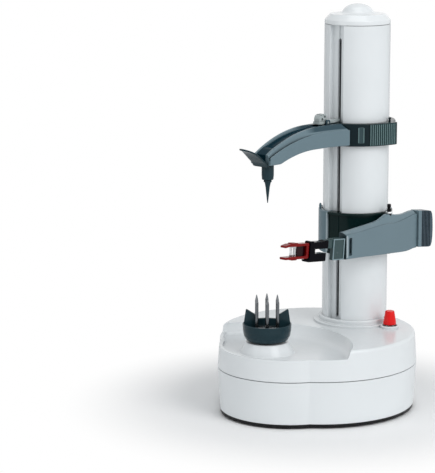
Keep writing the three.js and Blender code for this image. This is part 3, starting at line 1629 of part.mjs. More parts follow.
// Upper arm: sections along its length, with two ridges and a groove between them
function upperArm() {
  const rings = [];
  for (let i = 0; i <= armStations; i += 1) {
    const y = armNoseY + ((armRearY - armNoseY) * i) / armStations;
    const side = sideLineTop - arcDrop(y, sideLineFlatY, sideLineRadius);
    const crown = crownTop - arcDrop(y, crownPeakY, crownRadius);
    const bottom = Math.max(noseBottom, undersideTop - arcDrop(y, undersidePeakY, undersideRadius));
    const fadeIn = THREE.MathUtils.clamp((y - armGrooveFront) / armGrooveFade, 0, 1);
    const fadeOut = THREE.MathUtils.clamp((armGrooveRear - y) / armGrooveFade, 0, 1);
    const groove = armGroove * Math.min(fadeIn, fadeOut);
    const half = armWidthAt(y);
    const right = [
      [half, bottom],
      [half, side],
      [half - armShoulder, side + armShoulder / 2],
      [half * ridgeShare, crown],
      [half * ridgeInnerShare, crown],
      [half * grooveShare, crown - groove],
    ];
    const left = right.map(([x, z]) => [-x, z]).reverse();
    rings.push([...right, ...left].map(([x, z]) => new THREE.Vector3(x, y, z)));
  }
  let body = loft(rings, (p) => new THREE.Vector2(p.x, p.z));
  for (const side of [-1, 1]) {
    const inner = side * (releaseHalfWidth + gap);
    const outer = inner + side * releaseEarThick;
    let ear = block(Math.min(inner, outer), Math.max(inner, outer), releasePivotY - releaseEarHalfLength,
      releasePivotY + releaseEarHalfLength, crownTop - 2 * armGroove, releaseEarTop);
    const hole = new THREE.CylinderGeometry(releasePivotRadius + gap, releasePivotRadius + gap,
      4 * releaseHalfWidth, smallFacets);
    hole.rotateZ(Math.PI / 2);
    hole.translate(0, releasePivotY, releaseBottom + releaseThick / 2);
    ear = ear.subtract(solid(hole));
    body = body.add(ear);
  }
  body = body.subtract(block(-releaseHalfWidth - gap, releaseHalfWidth + gap, releaseFrontY - overrun,
    releaseSumpRearY, crownTop - releaseSump, crownTop + overrun));
  body = body.subtract(rod(collarRadius + armCollarGap, noseBottom, crownTop + overrun, wideFacets));
  body = body.subtract(block(-tongueHalfWidth - gap, tongueHalfWidth + gap, -collarRadius - tongueLength - gap,
    -collarRadius + overrun, tongueBottom - gap, tongueTop + gap));
  body = body.subtract(rod(pegRadius + gap, noseBottom - overrun, pegTop + gap, mediumFacets, 0, spindleY));
  return piece("upper_arm", body, slatePlastic());
}

// Sleeve and thumb tab in one piece, with a peg that goes up into the arm's nose
function tipHolder() {
  const sleeveTop = noseBottom - gap;
  let body = rod(sleeveRadius, sleeveBottom, sleeveTop, mediumFacets)
    .add(rod(pegRadius, sleeveTop - gap, pegTop, mediumFacets));
  const rings = tabStationShares.map(([out, up, across]) => {
    const y = -tabReach * out;
    const z = tabRootZ + tabRise * up;
    const half = tabHalfWidth * across;
    return [
      new THREE.Vector3(half, y, z - tabThick / 2),
      new THREE.Vector3(half, y, z + tabThick / 2),
      new THREE.Vector3(-half, y, z + tabThick / 2),
      new THREE.Vector3(-half, y, z - tabThick / 2),
    ];
  });
  body = body.add(loft(rings, (p) => new THREE.Vector2(p.x, p.z)));
  body = body.subtract(rod(spikeShankRadius + gap, sleeveBottom - overrun, spikeShankTop + gap, mediumFacets));
  return piece("tip_holder", body, darkSlatePlastic(), [0, spindleY, 0]);
}

function holdingSpike() {
  const collarTopZ = sleeveBottom - gap;
  const profile = [
    [0, spikeTip],
    [spikeLowRadius, spikeLowZ],
    [spikeNeckRadius, collarTopZ - spikeCollarThick],
    [spikeCollarRadius, collarTopZ - spikeCollarThick],
    [spikeCollarRadius, collarTopZ],
    [spikeShankRadius, collarTopZ],
    [spikeShankRadius, spikeShankTop],
    [0, spikeShankTop],
  ];
  return piece("holding_spike", turned(profile, mediumFacets), darkSlatePlastic(), [0, spindleY, 0]);
}

// Light grey lever that rocks on two trunnions between the arm's ears, its pawl in the column's channel
function releaseLever() {
  const top = releaseBottom + releaseThick;
  const y = releasePivotY;
  let body = block(-releaseHalfWidth, releaseHalfWidth, releaseFrontY - y, releaseRearY - y,
    releaseBottom, top);
  body = body.add(block(-pawlHalfWidth, pawlHalfWidth, releaseRearY - overrun - y, pawlRearY - y, releaseBottom,
    top));
  const pad = padOutlineShares.map(([along, up]) => [
    releaseFrontY - y + padLength * along,
    releaseBottom + padHeight * up,
  ]);
  body = body.add(sidePlate(pad, -releaseHalfWidth, releaseHalfWidth));
  const trunnion = new THREE.CylinderGeometry(releasePivotRadius, releasePivotRadius,
    2 * (releaseHalfWidth + releaseEarThick), smallFacets);
  trunnion.rotateZ(Math.PI / 2);
  trunnion.translate(0, 0, releaseBottom + releaseThick / 2);
  return piece("release_lever", body.add(solid(trunnion)), greyPlastic(), [0, y, 0]);
}

// Round wire along a smooth route
function wire(name, route, material) {
  const points = route.map(([x, y, z]) => new THREE.Vector3(x, y, z));
  const section = new THREE.Shape();
  section.absarc(0, 0, wireRadius, 0, 2 * Math.PI);
  const geometry = new THREE.ExtrudeGeometry(section, {
    steps: wireSteps,
    curveSegments: wireSides,
    extrudePath: new THREE.CatmullRomCurve3(points),
    bevelEnabled: false,
  });
  return piece(name, solid(geometry), material);
}

function supplyWire() {
  const start = [wireExitX, bayCentreY + bayHalfLength, wireExitZ];
  const end = [buttonX + wireSpread, buttonY, switchBottom - wireRadius];
  return wire("supply_wire", [start, ...supplyRoute, end], redPlastic());
}

function motorWire() {
  const start = [buttonX - wireSpread, buttonY, switchBottom - wireRadius];
  const end = [motorX, motorY + motorRadius + gap, motorRoute.at(-1)[2]];
  return wire("motor_wire", [start, ...motorRoute, end], blackPlastic());
}

// The whole assembly, then moved so that its box's bottom centre is the origin
const assembly = new THREE.Group();
assembly.add(basePlate(), batteryDoor(), ...rubberFeet(), ...batteryCells());
assembly.add(contactPlate("contact_front", -1), contactPlate("contact_rear", 1));
assembly.add(lowerHousing(), upperHousing(), ...caseScrews(), ...columnScrews());
assembly.add(gearPlate(), motor(), motorPinion(), compoundGear(), idlerGear());
assembly.add(axle("compound_axle", compoundX, upperGearFloor + upperGearThick + gap));
assembly.add(axle("idler_axle", 0, gearFloor + gearThick + gap));
assembly.add(spindleGroup(), spindleBush(), leadScrewGroup(), screwBush());
assembly.add(columnShell(), columnFootRing(), topCap());
assembly.add(powerButton(), buttonBezel(), buttonSpring(), powerSwitch());
assembly.add(carriage(), carriageNut(), pivotPin(), torsionSpring(), leverGroup());
assembly.add(upperCollar(), upperArm(), tipHolder(), holdingSpike(), releaseLever());
assembly.add(supplyWire(), motorWire());

const box = new THREE.Box3().setFromObject(assembly);
const centre = box.getCenter(new THREE.Vector3());
assembly.position.set(-centre.x, -centre.y, -box.min.z);
const potatoPeeler = new THREE.Group();
potatoPeeler.add(assembly);
console.log("shift", assembly.position.toArray().map((v) => v.toFixed(4)).join(" "));

export default potatoPeeler;
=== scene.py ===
import math

import bmesh
import bpy
from mathutils import Matrix, Vector


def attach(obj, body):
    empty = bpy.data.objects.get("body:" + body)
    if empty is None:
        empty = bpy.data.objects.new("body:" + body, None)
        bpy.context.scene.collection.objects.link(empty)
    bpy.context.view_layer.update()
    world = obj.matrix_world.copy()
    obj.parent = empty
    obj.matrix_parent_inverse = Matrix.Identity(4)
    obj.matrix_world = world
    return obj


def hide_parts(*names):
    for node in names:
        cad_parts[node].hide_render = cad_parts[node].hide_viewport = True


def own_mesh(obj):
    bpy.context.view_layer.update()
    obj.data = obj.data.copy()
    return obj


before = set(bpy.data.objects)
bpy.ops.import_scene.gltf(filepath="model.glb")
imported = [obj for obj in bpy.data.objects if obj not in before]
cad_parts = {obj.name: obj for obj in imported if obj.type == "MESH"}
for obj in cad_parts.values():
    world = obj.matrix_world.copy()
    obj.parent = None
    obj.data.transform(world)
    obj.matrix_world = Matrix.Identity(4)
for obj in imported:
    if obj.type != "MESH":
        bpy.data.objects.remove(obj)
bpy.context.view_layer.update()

bl_info = {
    "name": "Counter-top peeler",
    "version": (1, 0, 0),
    "blender": (4, 5, 0),
    "location": "View3D > Sidebar > Peeler",
    "description": "Dresses the packed frame of an electric potato peeler",
    "category": "Object",
}

# Places are in millimetres from the column's axis and the surface the peeler stands on
MM = 0.001
COLUMN_Y = 41.75

LOWER = (3.3, 34.95)
UPPER = (35.45, 57.8)
TRAY = 49.6
LOW_RIM = 51.5
MAIN = (-42.3, 74.6)
LOBE = (-75.2, 52.5)
LOWER_DRAFT = 1.8
UPPER_DRAFT = 1.5
WALL = 2.4
LIP = 3.9
RAMP_FOOT = (-135.0, 78.0)
RAMP_TOP = (-112.0, 72.0)
RAMP_CURVE = 3.4
SPINDLE_Y = -98.6
SCREW_Y = -11.1
CONE_TOP = 57.9
COLUMN_R = 24.7
CHANNEL_HALF = 6.4
CHANNEL_FLOOR = -19.9
COLUMN_TOP = 285.0
BUTTON = (37.1, -2.2)
CUP_TURN = math.radians(44)
PIN = (33.0, 0.0)
CARRIAGE = (113.0, 145.0)
CARRIAGE_R = 28.0
COLLAR = (196.0, 213.0)
COLLAR_R = 29.4
COLLAR_BORE = 25.1
GRIP_FACE = ((25.7, -15.2), (33.0, 6.6))
HEAD = (35.0, -55.0, 126.3)
HEAD_TILT = math.radians(5.5)
LEVER_Y = (-55.0, 27.4)
LEVER_RIDGE = [(-51.6, 137.6), (-23.2, 139.8), (-13.6, 140.9), (-8.6, 142.6), (-3.9, 144.4), (2, 143.9),
               (8, 142.8), (15.8, 142.4), (24.8, 143.5)]
LEVER_SHOULDER = [(-55, 136.3), (-39.3, 136.5), (-23.2, 137.7), (-8.6, 138.5), (1.2, 137.9), (11, 139.1),
                  (24.8, 141.8)]
LEVER_FOOT = [(-55, 117.9), (-36, 116.9), (-18.2, 115.8), (-1, 114.9), (15.8, 114.1), (24.8, 115.2)]
GRIP_OUTLINE = [(27.7, 116), (40.6, 114.4, 1.2), (42.6, 114.9, 1), (43.9, 117.6, 2), (44.6, 122),
                (44.8, 128.6), (44.5, 135.6), (43.8, 139.6, 2), (42.6, 141.8, 1), (40.8, 142.4, 1),
                (28.2, 143.9, 0.3), (27.7, 143.4)]
RELEASE_PIN = (-38, 214.35)
TAB_STATIONS = [(-98.6, 188.95, 4.4), (-104.6, 188.95, 7), (-106.3, 189.25, 7.6), (-107.7, 191.6, 7.6),
                (-111.1, 194.4, 7.5), (-114.4, 197.2, 7.2), (-118.4, 200, 6.3), (-122.2, 201.9, 4.3),
                (-125.6, 202.9, 2.3), (-128.3, 203.6, 0.4)]

# Shared values of the finishes
COAT_ROUGHNESS = 0.06
PLASTIC_IOR = 1.5
SKIN_DEPTH = 0.00004
RING_DEPTH = 0.00003
METAL_SHADE = 0.4
METAL_REACH = 0.003
METAL_SKIN = 0.15

# The view, the radii between which the floor turns white, and the world's light
VIEW_TURN = math.radians(44)
VIEW_PITCH = math.radians(10.9)
CAMERA_AT = (-0.1049, -1.6, 0.4307)
SENSOR = 36
FOCAL_SHARE = 2136.2 / 473
AIM_HEIGHT = 0.15
FLOOR_FADE = (0.09, 0.20)
WORLD_LIGHT = 0.42

# Each lamp's name, its place to the right, back and up in metres, its size and its power
LAMPS = (
    ("key_lamp", (1.0, -1.15, 0.9), (0.9, 1.2), 14.5),
    ("fill_lamp", (-1.4, -0.8, 0.5), (0.8, 1.4), 4),
    ("top_lamp", (0, -0.1, 1.5), (1.0, 1.0), 4.5),
)


# Places

def place(x, y, z):
    """A place given in millimetres from the column's axis, in the frame in metres."""
    return Vector((x, y + COLUMN_Y, z)) * MM


def round_column(radius, angle, z=0.0):
    """A place round the column, its angle in degrees from the front."""
    a = math.radians(angle)
    return (radius * math.sin(a), -radius * math.cos(a), z)


def in_head(x, s, h):
    """A place in the blade head: across, forwards and up along its own tilt."""
    along = Vector((0, -math.cos(HEAD_TILT), math.sin(HEAD_TILT)))
    up = Vector((0, math.sin(HEAD_TILT), math.cos(HEAD_TILT)))
    return tuple(Vector(HEAD) + Vector((x, 0, 0)) + along * s + up * h)


def circle(radius, facets):
    turns = [math.tau * i / facets for i in range(facets)]
    return [(radius * math.cos(turn), radius * math.sin(turn)) for turn in turns]


def oblong(x0, x1, y0, y1, *corner):
    """An outline with four corners, all rounded alike."""
    return [(x0, y0, *corner), (x1, y0, *corner), (x1, y1, *corner), (x0, y1, *corner)]


def softened(points, closed=False):
    """Rounds each corner of an outline that gives a third number, its radius."""
    out = []
    count = len(points)
    for i, point in enumerate(points):
        here = Vector(point[:2])
        if len(point) < 3 or (not closed and i in (0, count - 1)):
            out.append(tuple(here))
            continue
        before = Vector(points[i - 1][:2]) - here
        after = Vector(points[(i + 1) % count][:2]) - here
        half = before.angle(after) / 2
        if half > 1.54:
            out.append(tuple(here))
            continue
        reach = min(point[2] / math.tan(half), before.length * 0.49, after.length * 0.49)
        radius = reach * math.tan(half)
        a, b = before.normalized(), after.normalized()
        centre = here + (a + b).normalized() * radius / math.sin(half)
        start, end = here + a * reach - centre, here + b * reach - centre
        turn = math.copysign(math.pi - 2 * half, start.x * end.y - start.y * end.x)
        steps = max(2, int(abs(turn) / math.radians(11)) + 1)
        for k in range(steps + 1):
            t = turn * k / steps
            out.append((centre.x + start.x * math.cos(t) - start.y * math.sin(t),
                        centre.y + start.x * math.sin(t) + start.y * math.cos(t)))
    return out


def flowing(line, at):
    """Height of a smooth line through its points, at a place along it."""
    if at <= line[0][0]:
        return line[0][1]
    if at >= line[-1][0]:
        return line[-1][1]
    i = next(k for k in range(1, len(line)) if at <= line[k][0])
    slopes = []
    for k in (i - 1, i):
        a, b = line[max(k - 1, 0)], line[min(k + 1, len(line) - 1)]
        slopes.append((b[1] - a[1]) / (b[0] - a[0]))
    (x0, y0), (x1, y1) = line[i - 1], line[i]
    run = x1 - x0
    t = (at - x0) / run
    return ((2 * t ** 3 - 3 * t ** 2 + 1) * y0 + (t ** 3 - 2 * t ** 2 + t) * run * slopes[0]
            + (3 * t ** 2 - 2 * t ** 3) * y1 + (t ** 3 - t ** 2) * run * slopes[1])


# Modelling moves

def rest():
    """Back to object mode with nothing selected."""
    if bpy.context.object and bpy.context.object.mode != "OBJECT":
        bpy.ops.object.mode_set(mode="OBJECT")
    bpy.ops.object.select_all(action="DESELECT")


def only(piece):
    """Selects one piece alone."""
    rest()
    piece.select_set(True)
    bpy.context.view_layer.objects.active = piece


def edit(piece):
    only(piece)
    bpy.ops.object.mode_set(mode="EDIT")
    bpy.ops.mesh.select_mode(type="VERT")


def choose(test, kind="FACE"):
    """Selects the faces, edges or vertices that pass a test, in edit mode."""
    bpy.ops.mesh.select_mode(type=kind)
    bpy.ops.mesh.select_all(action="DESELECT")
    data = bpy.context.edit_object.data
    mesh = bmesh.from_edit_mesh(data)
    count = 0
    for part in {"FACE": mesh.faces, "EDGE": mesh.edges, "VERT": mesh.verts}[kind]:
        if test(part):
            part.select_set(True)
            count += 1
    mesh.select_flush_mode()
    bmesh.update_edit_mesh(data)
    return count


def closed_up(merge=0.004):
    """Merges doubled points and points all faces outwards, in edit mode, and leaves it."""
    bpy.ops.mesh.select_all(action="SELECT")
    bpy.ops.mesh.remove_doubles(threshold=merge * MM)
    bpy.ops.mesh.normals_make_consistent(inside=False)
    piece = bpy.context.object
    rest()
    return piece


def dot(name, point):
    """Starts a piece as one point: a small plane merged to its centre."""
    rest()
    bpy.ops.mesh.primitive_plane_add(size=MM, location=(0, 0, 0))
    piece = bpy.context.object
    piece.name = piece.data.name = name
    bpy.ops.object.mode_set(mode="EDIT")
    bpy.ops.mesh.select_mode(type="VERT")
    bpy.ops.mesh.select_all(action="SELECT")
    bpy.ops.mesh.merge(type="CENTER")
    bpy.ops.transform.translate(value=place(*point))
    return piece


def push(move):
    """Extrudes what is selected and moves it, in metres."""
    bpy.ops.mesh.extrude_region_move(TRANSFORM_OT_translate={"value": move})


def fill():
    bpy.ops.mesh.select_all(action="SELECT")
    bpy.ops.mesh.edge_face_add()


def draw(points):
    """Draws on from the selected point through the others."""
    last = Vector(points[0])
    for point in points[1:]:
        push((Vector(point) - last) * MM)
        last = Vector(point)


def turned(name, profile, x=0.0, y=0.0, steps=None):
    """A piece turned on the lathe: its radii and heights are spun round an upright axis."""
    steps = steps or bpy.context.scene.peeler_sizes.facets
    points = [(x + r, y, z) for r, z in softened(profile)]
    dot(name, points[0])
    draw(points)
    bpy.ops.mesh.select_all(action="SELECT")
    bpy.ops.mesh.spin(steps=steps, angle=math.tau, center=place(x, y, 0), axis=(0, 0, 1))
    return closed_up()


def drum(name, radius, z0, z1, *where):
    """A plain round piece, from its radius and its two ends."""
    return turned(name, [(0, z0), (radius, z0), (radius, z1), (0, z1)], *where)


def ring_of(name, profile, x=0.0, y=0.0, steps=None):
    """A turned ring: the profile closes on itself, off the axis, and its corners are rounded."""
    points = softened(profile, closed=True)
    return turned(name, points + points[:1], x, y, steps)


def traced(name, points, lift):
    """A plate: an outline is drawn, filled and extruded."""
    dot(name, points[0])
    draw(points)
    fill()
    push(Vector(lift) * MM)
    return closed_up()


def upright(name, outline, z0, z1):
    """A plate whose outline is seen from above."""
    return traced(name, [(x, y, z0) for x, y in softened(outline, closed=True)], (0, 0, z1 - z0))


def sideways(name, outline, x0, x1):
    """A plate whose outline is seen from the side."""
    return traced(name, [(x0, y, z) for y, z in softened(outline, closed=True)], (x1 - x0, 0, 0))


def fronted(name, outline, y0, y1):
    """A plate whose outline is seen from the front."""
    return traced(name, [(x, y0, z) for x, z in softened(outline, closed=True)], (0, y1 - y0, 0))


def head_plate(name, outline, half, x=0.0):
    """A plate of the blade head, its outline given forwards and up along the head."""
    points = [in_head(x - half, s, h) for s, h in softened(outline, closed=True)]
    return traced(name, points, (2 * half, 0, 0))


def rod_across(name, x, length, y, z, radius, facets=16):
    """A round rod that lies across the frame."""
    return traced(name, [(x, y + a, z + b) for a, b in circle(radius, facets)], (length, 0, 0))


def box(name, x0, x1, y0, y1, z0, z1):
    return upright(name, oblong(x0, x1, y0, y1), z0, z1)


def lofted(name, sections):
    """A form through sections with the same number of points: each is extruded on and reshaped."""
    dot(name, sections[0][0])
    draw(sections[0])
    fill()
    for before, after in zip(sections, sections[1:]):
        push((0, 0, 0))
        data = bpy.context.edit_object.data
        mesh = bmesh.from_edit_mesh(data)
        old = [place(*p) for p in before]
        moves = []
        for vert in mesh.verts:
            if vert.select:
                i = min(range(len(old)), key=lambda k: (old[k] - vert.co).length_squared)
                moves.append((vert, place(*after[i])))
        for vert, to in moves:
            vert.co = to
        bmesh.update_edit_mesh(data)
    return closed_up(0.001)


def bowl(name, rows, steps):
    """A bowl of circles, each extruded from the last, moved back and scaled."""
    rest()
    y, radius, z = rows[0]
    bpy.ops.mesh.primitive_circle_add(vertices=steps, radius=radius * MM, fill_type="NGON",
                                      location=place(0, y, z))
    piece = bpy.context.object
    piece.name = piece.data.name = name
    bpy.ops.object.transform_apply(location=True, rotation=True, scale=True)
    bpy.ops.object.mode_set(mode="EDIT")
    bpy.ops.mesh.select_all(action="SELECT")
    for (y0, r0, z0), (y1, r1, z1) in zip(rows, rows[1:]):
        push((0, (y1 - y0) * MM, (z1 - z0) * MM))
        bpy.ops.transform.resize(value=(r1 / r0, r1 / r0, 1), center_override=place(0, y1, z1))
    return closed_up(0.001)


def modified(piece, name, kind, **settings):
    """Adds a modifier to a piece and applies it."""
    only(piece)
    step = piece.modifiers.new(name, kind)
    for key, value in settings.items():
        setattr(step, key, value)
    bpy.ops.object.modifier_apply(modifier=step.name)
    return piece


def drop(*pieces):
    for piece in pieces:
        bpy.data.objects.remove(piece, do_unlink=True)


def combine(piece, other, how):
    modified(piece, "Shape", "BOOLEAN", operation=how, object=other, solver="MANIFOLD")
    if not piece.data.polygons:
        raise RuntimeError(f"nothing is left of {piece.name} after {how} with {other.name}")
    drop(other)
    return piece


def cut(piece, *others):
    for other in others:
        combine(piece, other, "DIFFERENCE")
    return piece


def add(piece, *others):
    for other in others:
        combine(piece, other, "UNION")
    return piece


def keep(piece, other):
    return combine(piece, other, "INTERSECT")


def together(piece, *others):
    """Joins pieces that touch without melting into one form."""
    only(piece)
    for other in others:
        other.select_set(True)
    bpy.ops.object.join()
    return piece


def twin(piece, name, shift=(0, 0, 0), turn=0.0, about=(0, 0, 0)):
    """A copy with a mesh of its own, turned in degrees round an upright axis and moved."""
    only(piece)
    bpy.ops.object.duplicate()
    copy = bpy.context.object
    copy.name = copy.data.name = name
    bpy.ops.object.mode_set(mode="EDIT")
    bpy.ops.mesh.select_all(action="SELECT")
    if turn:
        bpy.ops.transform.rotate(value=-math.radians(turn), orient_axis="Z", center_override=place(*about))
    if any(shift):
        bpy.ops.transform.translate(value=Vector(shift) * MM)
    rest()
    return copy


def copies(piece, turns, about=(0, 0, 0)):
    """Turned copies that take a piece's place, from their names and turns."""
    made = [twin(piece, name, turn=turn, about=about) for name, turn in turns.items()]
    drop(piece)
    return made


def eased(piece, width=None, angle=32, segments=3):
    """Rounds the sharp edges a little, as a mould or a press leaves them."""
    width = width or bpy.context.scene.peeler_sizes.edge_round / MM
    return modified(piece, "Edges", "BEVEL", limit_method="ANGLE", angle_limit=math.radians(angle),
                    width=width * MM,
                    segments=segments, use_clamp_overlap=True)


def sharp(edge, degrees):
    return edge.calc_face_angle(0) > math.radians(degrees)


def eased_where(piece, test, width, segments=4):
    """Rounds only the edges that pass a test."""
    edit(piece)
    if choose(test, "EDGE"):
        bpy.ops.mesh.bevel(offset=width * MM, segments=segments, affect="EDGES", clamp_overlap=True)
    rest()
    return piece


def smooth(piece, angle=32):
    only(piece)
    bpy.ops.object.shade_smooth_by_angle(angle=math.radians(angle))
    return modified(piece, "Normals", "WEIGHTED_NORMAL", keep_sharp=True)


def hand_over(piece, body, slot, finish, *nodes):
    """Gives a finished piece its finish, its body and the frame nodes it stands for."""
    only(piece)
    bpy.ops.object.transform_apply(location=True, rotation=True, scale=True)
    piece.data.materials.clear()
    piece.data.materials.append(bpy.data.materials[finish])
    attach(piece, body)
    if nodes:
        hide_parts(*nodes)
    rest()
    return piece


# Finishes

def new_group(name, inputs, outputs):
    group = bpy.data.node_groups.new(name, "ShaderNodeTree")
    for label, kind, value in inputs:
        socket = group.interface.new_socket(label, in_out="INPUT", socket_type=kind)
        socket.default_value = value
    for label, kind in outputs:
        group.interface.new_socket(label, in_out="OUTPUT", socket_type=kind)
    return group, group.nodes.new("NodeGroupInput"), group.nodes.new("NodeGroupOutput")


def node(tree, kind, values=None, **links):
    """Adds a node, sets its properties and sockets, and links what is given by socket name."""
    made = tree.nodes.new(kind)
    for key, value in (values or {}).items():
        if isinstance(key, str) and hasattr(made, key):
            setattr(made, key, value)
        else:
            made.inputs[key].default_value = value
    for key, source in links.items():
        tree.links.new(source, made.inputs[key.replace("_", " ")])
    return made


def maths(tree, operation, *values, clamp=False):
    """A step of maths on numbers or sockets."""
    made = node(tree, "ShaderNodeMath", {"operation": operation, "use_clamp": clamp})
    for socket, value in zip(made.inputs, values):
        if isinstance(value, (int, float)):
            socket.default_value = value
        else:
            tree.links.new(value, socket)
    return made.outputs[0]


def scaled(tree, colour, share):
    made = node(tree, "ShaderNodeVectorMath", {"operation": "SCALE"}, Scale=share)
    tree.links.new(colour, made.inputs[0])
    return made.outputs[0]


def ranged(tree, value, low, high, **more):
    """Stretches a value between two limits to 0 and 1."""
    options = {"From Min": low, "From Max": high, **more}
    return node(tree, "ShaderNodeMapRange", options, Value=value).outputs["Result"]


def noise(tree, where, detail, **more):
    """Noise with a scale that is a number or a socket."""
    scale = more.pop("scale")
    made = node(tree, "ShaderNodeTexNoise", {"Detail": detail, **more}, Vector=where)
    if isinstance(scale, float):
        made.inputs["Scale"].default_value = scale
    else:
        tree.links.new(scale, made.inputs["Scale"])
    return made.outputs["Fac"]


def own_place(tree):
    return node(tree, "ShaderNodeTexCoord").outputs["Object"]


def put_out(tree, out, **sources):
    for label, source in sources.items():
        tree.links.new(source, out.inputs[label])


SURFACE = [("Colour", "NodeSocketColor"), ("Roughness", "NodeSocketFloat"), ("Height", "NodeSocketFloat")]


def moulded_group():
    """Moulded plastic: slow shifts of colour and gloss, and the fine skin the mould leaves."""
    group, source, out = new_group(
        "Moulded skin",
        [("Colour", "NodeSocketColor", (0.5, 0.5, 0.5, 1)), ("Shift", "NodeSocketFloat", 0.04),
         ("Roughness", "NodeSocketFloat", 0.3), ("Grain", "NodeSocketFloat", 1500.0)], SURFACE)
    given = source.outputs
    where = own_place(group)
    slow = noise(group, where, 3.0, scale=22.0)
    haze = noise(group, where, 4.0, scale=140.0, Roughness=0.6)
    skin = noise(group, where, 2.0, scale=given["Grain"])
    wave = noise(group, where, 1.0, scale=60.0)
    shift = maths(group, "MULTIPLY", maths(group, "SUBTRACT", slow, 0.5), given["Shift"])
    tint = scaled(group, given["Colour"], maths(group, "MULTIPLY_ADD", shift, 2.0, 1.0))
    rough = maths(group, "ADD", maths(group, "MULTIPLY_ADD", haze, 0.14, -0.07), given["Roughness"],
                  clamp=True)
    put_out(group, out, Colour=tint, Roughness=rough, Height=maths(group, "MULTIPLY_ADD", skin, 0.35, wave))


def crease_group():
    """Paints shade into a colour where surfaces meet: darker in creases, grooves and recesses."""
    group, source, out = new_group(
        "Crease shade",
        [("Colour", "NodeSocketColor", (0.5, 0.5, 0.5, 1)), ("Shade", "NodeSocketFloat", 0.3),
         ("Reach", "NodeSocketFloat", 0.004)], SURFACE[:1])
    given = source.outputs
    near = node(group, "ShaderNodeAmbientOcclusion", {"samples": 4}, Distance=given["Reach"])
    depth = maths(group, "MULTIPLY", maths(group, "SUBTRACT", 1.0, near.outputs["AO"]), given["Shade"])
    put_out(group, out, Colour=scaled(group, given["Colour"], maths(group, "SUBTRACT", 1.0, depth)))


def turned_group():
    """Turned or drawn metal: fine rings across the length, and slow stains."""
    group, source, out = new_group(
        "Turned metal",
        [("Colour", "NodeSocketColor", (0.5, 0.5, 0.5, 1)), ("Roughness", "NodeSocketFloat", 0.25),
         ("Rings", "NodeSocketFloat", 2500.0)], SURFACE)
    given = source.outputs
    where = own_place(group)
    squeeze = node(group, "ShaderNodeMapping", {"Scale": (0.04, 0.04, 1.0)}, Vector=where)
    rings = noise(group, squeeze.outputs[0], 2.0, scale=given["Rings"])
    stain = noise(group, where, 4.0, scale=180.0)
    tint = scaled(group, given["Colour"], maths(group, "MULTIPLY_ADD", stain, 0.3, 0.85))
    rough = maths(group, "ADD", maths(group, "MULTIPLY_ADD", rings, 0.2, -0.1), given["Roughness"],
                  clamp=True)
    put_out(group, out, Colour=tint, Roughness=rough, Height=rings)


def new_material(name, constants):
    material = bpy.data.materials.new(name)
    material.use_nodes = True
    tree = material.node_tree
    shader = tree.nodes["Principled BSDF"]
    for label, value in constants.items():
        shader.inputs[label].default_value = value
    return tree, shader


def use_group(tree, group, values, **links):
    made = tree.nodes.new("ShaderNodeGroup")
    made.node_tree = bpy.data.node_groups[group]
    for label, value in values.items():
        made.inputs[label].default_value = value
    for label, source in links.items():
        tree.links.new(source, made.inputs[label])
    return made


def finished(tree, shader, surface, shade, reach, distance, strength):
    """Leads a surface through the crease shade and its relief into the shader."""
    crease = use_group(tree, "Crease shade", {"Shade": shade, "Reach": reach},
                       Colour=surface.outputs["Colour"])
    bump = node(tree, "ShaderNodeBump", {"Distance": distance, "Strength": strength},
                Height=surface.outputs["Height"])
    tree.links.new(crease.outputs["Colour"], shader.inputs["Base Color"])
    tree.links.new(surface.outputs["Roughness"], shader.inputs["Roughness"])
    tree.links.new(bump.outputs["Normal"], shader.inputs["Normal"])


def plastic(name, colour, roughness, shine=0.5, coat=0.0, grain=1500.0, skin=0.12, shade=0.35, reach=0.004,
            second=None, mask=None, dull=None):
    """A moulded plastic. A second colour, and a duller shine, may take over where a mask says so."""
    tree, shader = new_material(name, {"Coat Weight": coat, "Coat Roughness": COAT_ROUGHNESS,
                                       "IOR": PLASTIC_IOR,
                                       "Specular IOR Level": shine})
    colour = (*colour, 1)
    if second:
        blend = node(tree, "ShaderNodeMix", {"data_type": "RGBA"})
        blend.inputs[6].default_value = colour
        blend.inputs[7].default_value = (*second, 1)
        where = mask(tree)
        tree.links.new(where, blend.inputs[0])
        if dull is not None:
            level = node(tree, "ShaderNodeMapRange", {"To Min": shine, "To Max": dull}, Value=where)
            tree.links.new(level.outputs["Result"], shader.inputs["Specular IOR Level"])
        surface = use_group(tree, "Moulded skin", {"Roughness": roughness, "Grain": grain},
                            Colour=blend.outputs[2])
    else:
        surface = use_group(tree, "Moulded skin", {"Colour": colour, "Roughness": roughness, "Grain": grain})
    finished(tree, shader, surface, shade, reach, SKIN_DEPTH, skin)


def metal(name, colour, roughness, rings=2500.0):
    tree, shader = new_material(name, {"Metallic": 1.0})
    surface = use_group(tree, "Turned metal", {"Colour": (*colour, 1), "Roughness": roughness,
                                               "Rings": rings})
    finished(tree, shader, surface, METAL_SHADE, METAL_REACH, RING_DEPTH, METAL_SKIN)


def axis_value(tree, axis):
    return node(tree, "ShaderNodeSeparateXYZ", Vector=own_place(tree)).outputs[axis]


def behind(edge, soft=0.0004, axis="Y"):
    """A mask that is white past a place along an axis of the frame, or before it if soft is negative."""
    return lambda tree: ranged(tree, axis_value(tree, axis), edge - soft, edge + soft)


def beyond(radius, soft=0.0001):
    """A mask that is white further than a radius from the column's axis."""
    def build(tree):
        flat = node(tree, "ShaderNodeMapping", {"Location": (0, -COLUMN_Y * MM, 0), "Scale": (1, 1, 0)},
                    Vector=own_place(tree))
        far = node(tree, "ShaderNodeVectorMath", {"operation": "LENGTH"})
        tree.links.new(flat.outputs[0], far.inputs[0])
        return ranged(tree, far.outputs["Value"], radius - soft, radius + soft)
    return build


def both(first, second):
    """A mask that is white where two others are."""
    return lambda tree: maths(tree, "MULTIPLY", first(tree), second(tree))


